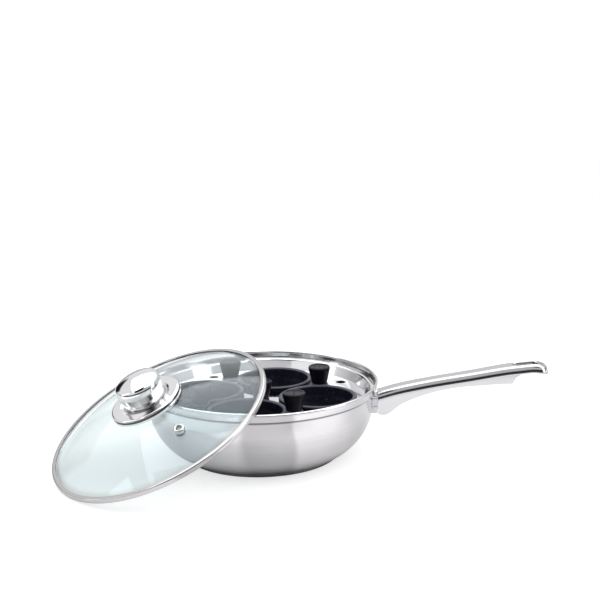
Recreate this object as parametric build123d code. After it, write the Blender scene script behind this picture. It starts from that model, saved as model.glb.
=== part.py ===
from build123d import *
from math import asin, cos, degrees, hypot, radians, sin, sqrt, tan
import os

# Egg poacher pan: a low stainless pan with a long pressed handle, a pressed steel rack that
# hangs in the pan's mouth, four non-stick egg cups that drop into the rack, and a domed glass
# lid that leans on the pan's rim beside it. Millimetres, +Z up, +X along the handle, origin
# at the middle of the pan's flat base. Each function below makes one piece.

# Pan body
PAN_RIM_R = 102.0
PAN_HEIGHT = 65.5
PAN_SHEET = 0.8
PAN_BEAD_R = 1.3
PAN_BAND_INSET = 0.6
LEDGE_STEP = 3.6
LEDGE_DROP = 7.5
LEDGE_BEND = 1.3
FOOT_OVERHANG = 2.1
BOWL_FLARE_ANGLE = 27.5
BOWL_BEND_SHARE = 0.952
FOOT_BEND = 3.0

# Sandwich base
BASE_R = 67.4
CAP_SHEET = 0.6
CORE_THICK = 2.8
BASE_SLIP = 0.12
CAP_BEND = 1.6

# Handle, its bracket and its hang slot
HANDLE_GAP = 0.2
HANDLE_LENGTH = 148.8
HANDLE_DROP = 11.1
HANDLE_RISE = 22.6
HANDLE_TOP_X_SHARES = (0, 0.113, 0.256, 0.537, 0.822, 0.93, 1)
HANDLE_TOP_Z_SHARES = (0, 0.205, 0.393, 0.683, 0.96, 1, 0.9)
HANDLE_HALF_WIDTH = 9.6
HANDLE_PLAN_X_SHARES = (0, 0.2, 0.5, 0.8)
HANDLE_PLAN_SHARES = (0.94, 0.9, 0.88, 0.97)
SHOULDER_DEPTH = 6.0
SHOULDER_ROUND = 3.6
SHOULDER_STEP = 1.0
WEB_SHEET = 1.2
WEB_DEPTH = 21.6
WEB_X_SHARES = (0.035, 0.14, 0.3, 0.47, 0.64, 0.784)
WEB_DEPTH_SHARES = (1, 0.74, 0.53, 0.49, 0.59, 0.7)
WEB_CUT_X_SHARES = (0.806, 0.85)
WEB_CUT_DEPTH_SHARES = (0.45, 0.3)
ROOT_EDGE_SHARE = 0.9
ROOT_SHARE = 0.01
SLOT_LENGTH = 21.5
SLOT_WIDTH = 10.4
SLOT_TIP_WALL = 9.4
BRACKET_WIDTH = 12.6
BRACKET_DROP = 2.9
BRACKET_HEIGHT = 16.0
BRACKET_THICK = 3.4
BRACKET_ROUND = 1.2
BRACKET_RIB_R = 1.9
BRACKET_RIB_SHARES = (0.28, 0.72)
TONGUE_LENGTH = 14.0
TONGUE_DROP = 3.9
TONGUE_HEIGHT = 9.0
TONGUE_SLIP = 0.25

# Rack
RACK_SHEET = 0.7
RACK_SLIP = 0.6
RACK_WALL_GAP = 1.8
RACK_WALL_RUN = 3.7
RACK_DEPTH = 9.3
RACK_BEND = 2.0
RACK_LIP = 1.6
CUP_GAP = 3.42
CUP_FIRST_ANGLE = -12.5
CUP_NAMES = ("right", "back", "left", "front")
CUP_HOLE_SLIP = 0.3
STEAM_HOLE_R = 4.3
STEAM_EDGE = 7.5

# Egg cups
CUP_RIM_R = 34.0
CUP_STAND = 4.5
CUP_SHEET = 1.1
CUP_LEDGE = 2.4
CUP_DEPTH = 25.0
CUP_TAPER = 8.6
CUP_WALL_BEND = 20.0
CUP_RIM_BEND = 1.3
CUP_SEAT_GAP = 0.2
EAR_OUT = 5.8
EAR_R = 7.6
EAR_ANGLE = 99.5
EAR_THICK = 2.0
EAR_FILLET = 4.0

# Black knobs on the cups and the rack, with their screws
KNOB_TOP_R = 9.6
KNOB_FOOT_R = 6.7
KNOB_HEIGHT = 15.5
KNOB_CROWN = 2.6
KNOB_CHAMFER = 0.8
KNOB_DISH_R = 6.9
KNOB_DISH_DEPTH = 0.8
DIMPLE_R = 0.8
DIMPLE_DEPTH = 0.6
DIMPLE_PITCH = 4.1
DIMPLE_COUNT = 3
SCREW_R = 2.0
SCREW_SLIP = 0.1
SCREW_GRIP = 8.5
SCREW_HEAD_R = 3.6
SCREW_HEAD_THICK = 1.8
WASHER_R = 5.5
WASHER_THICK = 0.9

# Lid
LID_SLIP = 0.8
LID_BAND_SHEET = 0.5
LID_BAND_LIP = 3.6
LID_BAND_ROUND = 1.1
GLASS_THICK = 3.4
GLASS_SLIP = 0.12
GLASS_FLANGE_WIDTH = 4.8
GLASS_RISE = 21.5
GLASS_BEND = 4.0
GLASS_HOLE_R = 4.2
LID_TILT_ANGLE = 26.96
LID_SIDE_ANGLE = 212.66
LID_RIM_GAP = 0.3
VENT_CIRCLE_R = 59.1
VENT_ANGLE = -95.1
VENT_HOLE_R = 2.3
VENT_TUBE_R = 3.1
VENT_BARREL_R = 4.6
VENT_STAND = 3.4
VENT_ROUND = 1.1
VENT_LIP_THICK = 0.8

# Lid knob and its plate
GASKET_THICK = 0.8
GASKET_R = 6.8
PLATE_R = 31.2
PLATE_SHEET = 0.8
PLATE_EDGE_BEND = 2.0
PLATE_WELL_R = 20.5
PLATE_WELL_DEPTH = 1.2
PLATE_STEP_RUN = 1.8
PLATE_STEP_BEND = 1.1
LID_KNOB_FOOT_R = 17.6
LID_KNOB_R = 20.4
LID_KNOB_EDGE_Z = 18.2
LID_KNOB_HEIGHT = 23.0
LID_KNOB_EDGE_ROUND = 4.5
LID_KNOB_SHEET = 1.0
CORE_SLIP = 0.05
CORE_HEIGHT = 14.0
LID_SCREW_R = 2.5
LID_SCREW_GRIP = 12.0
LID_SCREW_HEAD_R = 4.6
LID_SCREW_HEAD_THICK = 2.6

# How far a cutting tool runs past what it cuts
OVERRUN = 5.0
FULL_ANGLE = 360.0
RIGHT_ANGLE = 90.0

# Sizes that follow from the ones above
BODY_FOOT_Z = CAP_SHEET + CORE_THICK
BAND_R = PAN_RIM_R - PAN_BAND_INSET
WALL_R = BAND_R - LEDGE_STEP
LEDGE_Z = PAN_HEIGHT - LEDGE_DROP
BOWL_FOOT_R = BASE_R + FOOT_OVERHANG
FLARE_Z = BODY_FOOT_Z + (WALL_R - BOWL_FOOT_R) * tan(radians(BOWL_FLARE_ANGLE))
BEAD_CIRCLE_R = PAN_RIM_R - PAN_BEAD_R
BEAD_Z = PAN_HEIGHT - PAN_BEAD_R
LEDGE_TOP_Z = LEDGE_Z + PAN_SHEET
PAN_MOUTH_R = BEAD_CIRCLE_R - PAN_BEAD_R
RACK_FLANGE_R = PAN_MOUTH_R - RACK_SLIP
LID_R = PAN_MOUTH_R - LID_SLIP
LID_BAND_HEIGHT = GLASS_THICK + (LID_BAND_SHEET + GLASS_SLIP) * 2
GLASS_EDGE_ROUND = LID_BAND_ROUND - LID_BAND_SHEET
RACK_WALL_TOP_R = WALL_R - PAN_SHEET - RACK_WALL_GAP
RACK_PLATE_R = RACK_WALL_TOP_R - RACK_WALL_RUN
RACK_PLATE_Z = LEDGE_TOP_Z - RACK_DEPTH
STEAM_CIRCLE_R = RACK_PLATE_R - STEAM_EDGE
CUP_PITCH_ANGLE = FULL_ANGLE / len(CUP_NAMES)
CUP_CIRCLE_R = (CUP_RIM_R * 2 + CUP_GAP) / (2 * sin(radians(CUP_PITCH_ANGLE / 2)))
CUP_RIM_Z = RACK_PLATE_Z + CUP_STAND
CUP_MOUTH_R = CUP_RIM_R - CUP_LEDGE
CUP_HOLE_R = CUP_MOUTH_R + CUP_HOLE_SLIP
CUP_FLOOR_R = CUP_MOUTH_R - CUP_TAPER
EAR_REACH = CUP_RIM_R + EAR_OUT
HANDLE_ROOT_X = BAND_R + HANDLE_GAP
HANDLE_TIP_X = HANDLE_ROOT_X + HANDLE_LENGTH
HANDLE_ROOT_Z = PAN_HEIGHT - HANDLE_DROP
HANDLE_SPAN_Y = HANDLE_HALF_WIDTH + OVERRUN
BRACKET_HIGH_Z = HANDLE_ROOT_Z - BRACKET_DROP
BRACKET_LOW_Z = BRACKET_HIGH_Z - BRACKET_HEIGHT
TONGUE_HIGH_Z = HANDLE_ROOT_Z - TONGUE_DROP
TONGUE_LOW_Z = TONGUE_HIGH_Z - TONGUE_HEIGHT
KNOB_HOLE_R = SCREW_R + SCREW_SLIP
GLASS_FLANGE_Z = LID_BAND_SHEET + GLASS_SLIP
GLASS_FLANGE_R = LID_R - GLASS_FLANGE_WIDTH
GLASS_EDGE_R = LID_R - LID_BAND_SHEET - GLASS_SLIP
DOME_R = (GLASS_FLANGE_R ** 2 + GLASS_RISE ** 2) / (2 * GLASS_RISE)
DOME_CENTRE_Z = GLASS_FLANGE_Z + GLASS_RISE - DOME_R
GLASS_TOP_Z = GLASS_FLANGE_Z + GLASS_RISE + GLASS_THICK
PLATE_SEAT_Z = GLASS_TOP_Z + GASKET_THICK


def polar(radius, bearing):
    """A point at a radius and a bearing in degrees, as x and y."""
    return radius * cos(radians(bearing)), radius * sin(radians(bearing))


def spun_polygon(*points):
    """A solid of revolution from straight-sided outline points (radius, height)."""
    return revolve(Plane.XZ * make_face(Polyline(*points, close=True)), Axis.Z, FULL_ANGLE)


def pressed(points, bends, sheet):
    """A pressed sheet of revolution: a bent path of radius and height, thickened to its left."""
    path = FilletPolyline(*points, radius=bends)
    outline = Wire(path.edges()).offset_2d(sheet, side=Side.LEFT)
    return revolve(Plane.XZ * make_face(outline), Axis.Z, FULL_ANGLE)


def rod(radius, low, high, x=0, y=0):
    """An upright round bar between two heights."""
    return Pos(x, y, low) * Cylinder(radius, high - low, align=(Align.CENTER, Align.CENTER, Align.MIN))


# Pan

def pan_outside():
    """The outer line of the pan's pressing, from the middle of the floor to the rim."""
    return [
        (0, BODY_FOOT_Z),
        (BOWL_FOOT_R, BODY_FOOT_Z),
        (WALL_R, FLARE_Z),
        (WALL_R, LEDGE_Z),
        (BAND_R, LEDGE_Z),
        (BAND_R, BEAD_Z),
    ]


def pan_bends():
    """Bend radii along the pan's outer line; the bowl's is as large as its flare or wall allows."""
    half_turn = radians(RIGHT_ANGLE - BOWL_FLARE_ANGLE) / 2
    flare = hypot(WALL_R - BOWL_FOOT_R, FLARE_Z - BODY_FOOT_Z)
    wall = LEDGE_Z - LEDGE_BEND - FLARE_Z
    bowl_bend = min(flare, wall) * BOWL_BEND_SHARE / tan(half_turn)
    return [FOOT_BEND, bowl_bend, LEDGE_BEND, LEDGE_BEND]


def pan_body():
    """The bowl-shaped body with its ledge near the top and its rolled rim."""
    bowl = pressed(pan_outside(), pan_bends(), PAN_SHEET)
    bead = Pos(0, 0, BEAD_Z) * Torus(BEAD_CIRCLE_R, PAN_BEAD_R)
    return bowl + bead


def base_core():
    """The aluminium disc inside the sandwich base."""
    disc = rod(BASE_R - CAP_SHEET - BASE_SLIP, CAP_SHEET + BASE_SLIP, BODY_FOOT_Z - BASE_SLIP)
    foot_edge = disc.edges().filter_by(GeomType.CIRCLE).sort_by(Axis.Z)[0]
    return fillet(foot_edge, CAP_BEND - CAP_SHEET)


def base_cap():
    """The thin steel cap that holds the core against the body; its face is the pan's foot."""
    points = [(0, 0), (BASE_R, 0), (BASE_R, BODY_FOOT_Z - BASE_SLIP)]
    return pressed(points, [CAP_BEND], CAP_SHEET)


# Handle

def handle_x(share):
    return HANDLE_ROOT_X + HANDLE_LENGTH * share


def handle_top_points(drop=0):
    """Points of the handle's top line in side view, lowered by drop."""
    return [
        (handle_x(x_share), HANDLE_ROOT_Z + HANDLE_RISE * z_share - drop)
        for x_share, z_share in zip(HANDLE_TOP_X_SHARES, HANDLE_TOP_Z_SHARES)
    ]


def handle_top_height(share):
    """Height of the handle's top line at a share of its length, between its points."""
    pairs = list(zip(HANDLE_TOP_X_SHARES, HANDLE_TOP_Z_SHARES))
    for (low_x, low_z), (high_x, high_z) in zip(pairs, pairs[1:]):
        if share <= high_x:
            part = (share - low_x) / (high_x - low_x)
            return HANDLE_ROOT_Z + HANDLE_RISE * (low_z + part * (high_z - low_z))
    return HANDLE_ROOT_Z + HANDLE_RISE


def side_strip(upper, lower):
    """A face in side view between two rows of points that run from the root to the tip."""
    top = Spline(*upper)
    bottom = Spline(*lower)
    root = Line(lower[0], upper[0])
    tip = Line(upper[-1], lower[-1])
    return Plane.XZ * make_face(Curve() + [top, tip, bottom, root])


def handle_plan(inset, tip_share):
    """The handle seen from above: waisted sides, narrower by inset, up to a share of its length."""
    half = [HANDLE_HALF_WIDTH * share - inset for share in HANDLE_PLAN_SHARES]
    stations = [handle_x(share) for share in HANDLE_PLAN_X_SHARES]
    end_x = handle_x(tip_share)
    tip_half = HANDLE_HALF_WIDTH - inset
    shoulder_x = end_x - tip_half
    near = [(x, -y) for x, y in zip(stations, half)] + [(shoulder_x, -tip_half)]
    far = [(x, -y) for x, y in near]
    near_side = Spline(*near, tangents=[(1, 0), (1, 0)])
    far_side = Spline(*far, tangents=[(1, 0), (1, 0)])
    nose = ThreePointArc(near[-1], (end_x, 0), far[-1])
    root = Line(near[0], far[0])
    return make_face(Curve() + [near_side, nose, far_side, root])


def upright(face, low, high):
    """A plan face drawn up between two heights."""
    return extrude(Pos(0, 0, low) * face, high - low)


def on_handle_top(edge):
    """Whether an edge of the handle runs along its top, past the root."""
    middle = edge @ 0.5
    share = (middle.X - HANDLE_ROOT_X) / HANDLE_LENGTH
    depth = handle_top_height(share) - middle.Z
    return share > HANDLE_TOP_X_SHARES[0] + ROOT_SHARE and depth < SHOULDER_DEPTH / 2


def web_line():
    """Points of the handle's lower edge in side view, from the root to the oblique cut."""
    x_shares = WEB_X_SHARES + WEB_CUT_X_SHARES
    depth_shares = WEB_DEPTH_SHARES + WEB_CUT_DEPTH_SHARES
    return [
        (handle_x(x_share), handle_top_height(x_share) - WEB_DEPTH * depth_share)
        for x_share, depth_share in zip(x_shares, depth_shares)
    ]


def handle_slot():
    """The hang slot's outline in plan, as long as it is and with round ends."""
    centre_x = HANDLE_TIP_X - SLOT_TIP_WALL - SLOT_LENGTH / 2
    return Pos(centre_x, 0) * SlotOverall(SLOT_LENGTH, SLOT_WIDTH)


def handle():
    """The pressed handle: a rounded top band, inset side webs, hollow below, with a hang slot."""
    low = HANDLE_ROOT_Z - WEB_DEPTH - OVERRUN
    high = HANDLE_ROOT_Z + HANDLE_RISE + OVERRUN
    band_side = extrude(side_strip(handle_top_points(), handle_top_points(SHOULDER_DEPTH)),
                        HANDLE_SPAN_Y, both=True)
    band = band_side & upright(handle_plan(0, 1), low, high)
    band = fillet(band.edges().filter_by(on_handle_top), SHOULDER_ROUND)
    line = web_line()
    inside_top = handle_top_points(WEB_SHEET * 2)
    reach = [point for point in inside_top if point[0] < line[-1][0]]
    cover_end = (line[-2][0], handle_top_height(WEB_CUT_X_SHARES[0]) - WEB_SHEET * 2)
    cover = [point for point in inside_top if point[0] < cover_end[0]] + [cover_end]
    root_low = (HANDLE_ROOT_X, handle_top_height(0) - WEB_DEPTH * ROOT_EDGE_SHARE)
    outline = Curve() + [
        Spline(*reach),
        Line(reach[-1], line[-1]),
        Line(line[-1], line[-2]),
        Line(line[-2], line[-3]),
        Spline(*line[:-2]),
        Line(line[0], root_low),
        Line(root_low, reach[0]),
    ]
    web_side = extrude(Plane.XZ * make_face(outline), HANDLE_SPAN_Y, both=True)
    web = web_side & upright(handle_plan(SHOULDER_STEP, 1), low, high)
    hollow_outline = Curve() + [
        Spline(*cover),
        Line(cover[-1], (cover[-1][0], low)),
        Line((cover[-1][0], low), (HANDLE_ROOT_X, low)),
        Line((HANDLE_ROOT_X, low), cover[0]),
    ]
    hollow_side = extrude(Plane.XZ * make_face(hollow_outline), HANDLE_SPAN_Y, both=True)
    hollow = hollow_side & upright(handle_plan(SHOULDER_STEP + WEB_SHEET, 1), low, high)
    body = band + web - hollow
    return body - upright(handle_slot(), low, high)


def pan_plug():
    """The room inside the pan's outer skin, filled from its floor to its rim."""
    skin = FilletPolyline(*pan_outside(), radius=pan_bends())
    room = make_face(Curve() + [skin, Polyline(skin @ 1, (0, BEAD_Z), skin @ 0)])
    return revolve(Plane.XZ * room, Axis.Z, FULL_ANGLE)


def handle_bracket():
    """The welded bracket: a pad that follows the wall, two ribs and a tongue in the handle."""
    inner_x = WALL_R - BRACKET_THICK
    outer_x = HANDLE_ROOT_X - TONGUE_SLIP
    height = BRACKET_HIGH_Z - BRACKET_LOW_Z
    middle_z = (BRACKET_HIGH_Z + BRACKET_LOW_Z) / 2
    pad = Pos((inner_x + outer_x) / 2, 0, middle_z) * Box(outer_x - inner_x, BRACKET_WIDTH, height)
    pad = fillet(pad.edges().filter_by(Axis.X), BRACKET_ROUND)
    for share in BRACKET_RIB_SHARES:
        rib = Rot(RIGHT_ANGLE, 0, 0) * Cylinder(BRACKET_RIB_R, BRACKET_WIDTH + BRACKET_RIB_R)
        pad += Pos(outer_x - BRACKET_RIB_R, 0, BRACKET_LOW_Z + height * share) * rib
    half = HANDLE_HALF_WIDTH * HANDLE_PLAN_SHARES[1] - SHOULDER_STEP - WEB_SHEET - TONGUE_SLIP
    tongue_size = (TONGUE_LENGTH + BRACKET_THICK, half * 2, TONGUE_HIGH_Z - TONGUE_LOW_Z)
    tongue_x = outer_x + (TONGUE_LENGTH - BRACKET_THICK) / 2
    tongue = Pos(tongue_x, 0, (TONGUE_HIGH_Z + TONGUE_LOW_Z) / 2) * Box(*tongue_size)
    return pad + tongue - pan_plug()


# Rack

def cup_bearings():
    """Bearings of the cups about the pan's axis."""
    return [CUP_FIRST_ANGLE + CUP_PITCH_ANGLE * index for index in range(len(CUP_NAMES))]


def rack_plate():
    """The pressed rack: lip, flange, sloping wall and a flat plate with its holes."""
    low = RACK_PLATE_Z - RACK_SHEET
    flange_z = LEDGE_TOP_Z
    points = [
        (0, low),
        (RACK_PLATE_R, low),
        (RACK_WALL_TOP_R, flange_z),
        (RACK_FLANGE_R, flange_z),
        (RACK_FLANGE_R, flange_z + RACK_LIP),
    ]
    plate = pressed(points, [RACK_BEND, RACK_BEND, RACK_SHEET + SCREW_SLIP], RACK_SHEET)
    for bearing in cup_bearings():
        x, y = polar(CUP_CIRCLE_R, bearing)
        plate -= rod(CUP_HOLE_R, low - OVERRUN, RACK_PLATE_Z + OVERRUN, x, y)
        x, y = polar(STEAM_CIRCLE_R, bearing + CUP_PITCH_ANGLE / 2)
        plate -= rod(STEAM_HOLE_R, low - OVERRUN, RACK_PLATE_Z + OVERRUN, x, y)
    return plate - rod(KNOB_HOLE_R, low - OVERRUN, RACK_PLATE_Z + OVERRUN)


# Knobs and screws

def knob():
    """A tapered black knob standing on z = 0, dished on top, with a blind screw hole below."""
    outline = [
        (0, 0),
        (KNOB_FOOT_R, 0),
        (KNOB_TOP_R, KNOB_HEIGHT - KNOB_CROWN),
        (KNOB_TOP_R, KNOB_HEIGHT - KNOB_CHAMFER),
        (KNOB_TOP_R - KNOB_CHAMFER, KNOB_HEIGHT),
        (KNOB_DISH_R + KNOB_DISH_DEPTH, KNOB_HEIGHT),
        (KNOB_DISH_R, KNOB_HEIGHT - KNOB_DISH_DEPTH),
        (0, KNOB_HEIGHT - KNOB_DISH_DEPTH),
    ]
    body = spun_polygon(*outline)
    floor = KNOB_HEIGHT - KNOB_DISH_DEPTH
    for index in range(DIMPLE_COUNT):
        x = (index - (DIMPLE_COUNT - 1) / 2) * DIMPLE_PITCH
        body -= rod(DIMPLE_R, floor - DIMPLE_DEPTH, KNOB_HEIGHT, x)
    return body - rod(KNOB_HOLE_R, -OVERRUN, SCREW_GRIP + SCREW_SLIP)


def screw(seat, grip, radius, head_r, head_thick):
    """A round-headed screw: its head hangs below seat and its shank reaches grip above it."""
    shank = rod(radius, seat, seat + grip)
    head = rod(head_r, seat - head_thick, seat)
    rim = head.edges().filter_by(GeomType.CIRCLE).sort_by(Axis.Z)[0]
    return shank + fillet(rim, head_thick / 2)


def rack_knob():
    return Pos(0, 0, RACK_PLATE_Z) * knob()


def rack_washer():
    top = RACK_PLATE_Z - RACK_SHEET
    ring = rod(WASHER_R, top - WASHER_THICK, top)
    return ring - rod(KNOB_HOLE_R, top - WASHER_THICK - OVERRUN, top + OVERRUN)


def rack_screw():
    seat = RACK_PLATE_Z - RACK_SHEET - WASHER_THICK
    grip = RACK_SHEET + WASHER_THICK + SCREW_GRIP
    return screw(seat, grip, SCREW_R, SCREW_HEAD_R, SCREW_HEAD_THICK)


# Egg cups

def cup_place(bearing):
    """The place of a cup: its own frame has +X away from the pan's axis."""
    x, y = polar(CUP_CIRCLE_R, bearing)
    return Pos(x, y, 0) * Rot(0, 0, bearing)


def cup_bowl():
    """A pressed non-stick cup with a turned-down rim and an ear for its knob."""
    floor_z = CUP_RIM_Z - CUP_DEPTH
    skirt_low = RACK_PLATE_Z + CUP_SEAT_GAP
    points = [
        (CUP_RIM_R, skirt_low),
        (CUP_RIM_R, CUP_RIM_Z),
        (CUP_MOUTH_R - CUP_SHEET, CUP_RIM_Z),
        (CUP_FLOOR_R, floor_z),
        (0, floor_z),
    ]
    shell = pressed(points, [CUP_RIM_BEND, CUP_RIM_BEND, CUP_WALL_BEND], CUP_SHEET)
    ear_x, ear_y = polar(EAR_REACH, EAR_ANGLE)
    tab = Rot(0, 0, EAR_ANGLE) * Pos(EAR_REACH / 2, 0) * Rectangle(EAR_REACH, EAR_R * 2)
    outline = Circle(CUP_RIM_R - CUP_SHEET / 2) + tab + Pos(ear_x, ear_y) * Circle(EAR_R)
    corners = outline.vertices().filter_by(
        lambda v: abs(hypot(v.X, v.Y) - CUP_RIM_R + CUP_SHEET / 2) < CUP_SHEET / 2)
    outline = fillet(corners, EAR_FILLET)
    outline -= Circle(CUP_RIM_R - CUP_SHEET)
    ear = upright(outline, CUP_RIM_Z - EAR_THICK, CUP_RIM_Z)
    ear -= rod(KNOB_HOLE_R, CUP_RIM_Z - OVERRUN, CUP_RIM_Z + OVERRUN, ear_x, ear_y)
    return shell + ear


def ear_place(height):
    """The place of a cup's knob in the cup's own frame, at a height."""
    x, y = polar(EAR_REACH, EAR_ANGLE)
    return Pos(x, y, height) * Rot(0, 0, EAR_ANGLE - RIGHT_ANGLE)


def cup_knob():
    return ear_place(CUP_RIM_Z) * knob()


def cup_screw():
    grip = EAR_THICK + SCREW_GRIP
    return ear_place(CUP_RIM_Z - EAR_THICK) * screw(0, grip, SCREW_R, SCREW_HEAD_R, SCREW_HEAD_THICK)


# Lid, in its own frame: z = 0 is the underside of its steel band, +X points up the slope

def band_touch(rise, lean_sin, lean_cos):
    """Distance of the lid's middle from the pan's axis when its band's lip meets the rim."""
    touch_x = (rise * lean_cos + PAN_BEAD_R + LID_RIM_GAP) / lean_sin
    along = touch_x * lean_cos + rise * lean_sin
    across = sqrt((LID_R - LID_BAND_LIP) ** 2 - along ** 2)
    return touch_x + sqrt(BEAD_CIRCLE_R ** 2 - across ** 2)


def dome_touch(rise, lean_sin, lean_cos):
    """The same distance when the rim meets the inside of the dome, which a low pan does first."""
    ball_r = DOME_R - PAN_BEAD_R - LID_RIM_GAP
    ball_rise = rise - DOME_CENTRE_Z * lean_cos
    level_r = sqrt(ball_r ** 2 - ball_rise ** 2)
    return BEAD_CIRCLE_R - DOME_CENTRE_Z * lean_sin - level_r


def lid_place():
    """Lean the lid: its low edge is on the table and its band is on the pan's rim."""
    lean_sin = sin(radians(LID_TILT_ANGLE))
    lean_cos = cos(radians(LID_TILT_ANGLE))
    centre_z = (LID_R - LID_BAND_ROUND) * lean_sin + LID_BAND_ROUND * (1 - lean_cos)
    rise = BEAD_Z - centre_z
    distance = max(band_touch(rise, lean_sin, lean_cos), dome_touch(rise, lean_sin, lean_cos))
    x, y = polar(distance, LID_SIDE_ANGLE)
    return Pos(x, y, centre_z) * Rot(0, 0, LID_SIDE_ANGLE - FULL_ANGLE / 2) * Rot(0, -LID_TILT_ANGLE, 0)


def dome_height(radius, lift=0):
    """Height of the glass dome's underside at a radius, or of a surface lift above it."""
    return DOME_CENTRE_Z + sqrt((DOME_R + lift) ** 2 - radius ** 2)


def glass_section(hole):
    """Half of the glass in section, from the hole in its middle to its flat edge."""
    flange_top = GLASS_FLANGE_Z + GLASS_THICK
    outer_r = DOME_R + GLASS_THICK
    knee = sqrt(outer_r ** 2 - (flange_top - DOME_CENTRE_Z) ** 2)
    middle_in = (GLASS_FLANGE_R + hole) / 2
    middle_out = (knee + hole) / 2
    low_hole = (hole, dome_height(hole))
    top_hole = (hole, dome_height(hole, GLASS_THICK))
    low_knee = (GLASS_FLANGE_R, GLASS_FLANGE_Z)
    top_knee = (knee, flange_top)
    outline = Curve() + [
        Polyline(top_knee, (GLASS_EDGE_R, flange_top), (GLASS_EDGE_R, GLASS_FLANGE_Z), low_knee),
        ThreePointArc(low_knee, (middle_in, dome_height(middle_in)), low_hole),
        Line(low_hole, top_hole),
        ThreePointArc(top_hole, (middle_out, dome_height(middle_out, GLASS_THICK)), top_knee),
    ]
    face = make_face(outline)
    edge = face.vertices().filter_by(lambda v: v.X > GLASS_EDGE_R - GLASS_SLIP)
    face = fillet(edge, GLASS_EDGE_ROUND)
    knees = face.vertices().filter_by(lambda v: hole < v.X < GLASS_EDGE_R - GLASS_THICK)
    knees = [v for v in knees if v.X > GLASS_FLANGE_R - GLASS_THICK]
    return fillet(knees, GLASS_BEND)


def vent_frame():
    """The frame of the steam vent: on the dome's underside, +Z out along the dome's normal."""
    x, y = polar(VENT_CIRCLE_R, VENT_ANGLE)
    slope = degrees(asin(VENT_CIRCLE_R / DOME_R))
    return Pos(x, y, dome_height(VENT_CIRCLE_R)) * Rot(0, 0, VENT_ANGLE) * Rot(0, slope, 0)


def lid_glass():
    """The toughened glass: a shallow dome inside a flat edge, with two holes."""
    glass = revolve(Plane.XZ * glass_section(GLASS_HOLE_R), Axis.Z, FULL_ANGLE)
    return glass - vent_frame() * rod(VENT_TUBE_R + GLASS_SLIP, -OVERRUN, GLASS_THICK + OVERRUN)


def lid_band():
    """The folded steel band that wraps the glass edge."""
    inner = LID_R - LID_BAND_LIP
    groove_r = LID_R - LID_BAND_SHEET
    groove_low = LID_BAND_SHEET
    groove_high = LID_BAND_HEIGHT - LID_BAND_SHEET
    face = make_face(Polyline(
        (inner, 0),
        (LID_R, 0),
        (LID_R, LID_BAND_HEIGHT),
        (inner, LID_BAND_HEIGHT),
        (inner, groove_high),
        (groove_r, groove_high),
        (groove_r, groove_low),
        (inner, groove_low),
        close=True,
    ))
    outside = face.vertices().filter_by(lambda v: v.X > (LID_R + groove_r) / 2)
    face = fillet(outside, LID_BAND_ROUND)
    inside = face.vertices().filter_by(lambda v: abs(v.X - groove_r) < GLASS_SLIP)
    face = fillet(inside, GLASS_EDGE_ROUND)
    return revolve(Plane.XZ * face, Axis.Z, FULL_ANGLE)


def lid_gaskets():
    """Two soft washers, above and below the glass at its centre hole."""
    hole = LID_SCREW_R + SCREW_SLIP
    upper = rod(GASKET_R, GLASS_TOP_Z, PLATE_SEAT_Z)
    upper -= rod(hole, GLASS_TOP_Z - OVERRUN, PLATE_SEAT_Z + OVERRUN)
    low_top = dome_height(GASKET_R)
    lower = rod(GASKET_R, low_top - GASKET_THICK, low_top)
    lower -= rod(hole, low_top - GASKET_THICK - OVERRUN, low_top + OVERRUN)
    return Compound(children=[upper, lower])


def knob_plate():
    """The steel plate under the knob: a rolled edge, a flat ring and a shallow well."""
    edge_low = dome_height(PLATE_R - PLATE_SHEET, GLASS_THICK) + SCREW_SLIP
    top = PLATE_SEAT_Z + PLATE_SHEET
    points = [
        (PLATE_R, edge_low),
        (PLATE_R, top + PLATE_WELL_DEPTH),
        (PLATE_WELL_R + PLATE_STEP_RUN, top + PLATE_WELL_DEPTH),
        (PLATE_WELL_R, top),
        (0, top),
    ]
    plate = pressed(points, [PLATE_EDGE_BEND, PLATE_STEP_BEND, PLATE_STEP_BEND], PLATE_SHEET)
    return plate - rod(LID_SCREW_R + SCREW_SLIP, top - OVERRUN, top + OVERRUN)


def lid_knob_shape(inset):
    """The lid knob as a full solid, drawn in by inset: a tapered side and a soft crown."""
    low = PLATE_SEAT_Z + PLATE_SHEET
    top = low + LID_KNOB_HEIGHT
    edge_z = low + LID_KNOB_EDGE_Z
    crown_r = (LID_KNOB_R ** 2 + (top - edge_z) ** 2) / (2 * (top - edge_z))
    half_r = LID_KNOB_R / 2
    half_z = top - crown_r + sqrt((crown_r - inset) ** 2 - half_r ** 2)
    wide = LID_KNOB_R - inset
    rim_z = top - crown_r + sqrt((crown_r - inset) ** 2 - wide ** 2)
    sides = Polyline((0, top - inset), (0, low), (LID_KNOB_FOOT_R - inset, low), (wide, rim_z))
    crown = ThreePointArc((wide, rim_z), (half_r, half_z), (0, top - inset))
    face = make_face(Curve() + [sides, crown])
    corner = face.vertices().sort_by(Axis.X)[-1]
    face = fillet(corner, LID_KNOB_EDGE_ROUND - inset)
    return revolve(Plane.XZ * face, Axis.Z, FULL_ANGLE)


def lid_knob():
    """The hollow steel knob, open below where its core goes in."""
    return lid_knob_shape(0) - lid_knob_shape(LID_KNOB_SHEET)


def lid_knob_core():
    """The moulded core that fills the knob's foot and takes its screw."""
    low = PLATE_SEAT_Z + PLATE_SHEET
    core = lid_knob_shape(LID_KNOB_SHEET + CORE_SLIP) & rod(LID_KNOB_R, low, low + CORE_HEIGHT)
    return core - rod(LID_SCREW_R + SCREW_SLIP, low - OVERRUN, low + LID_SCREW_GRIP + SCREW_SLIP)


def lid_washer_top():
    return dome_height(GASKET_R) - GASKET_THICK


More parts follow.
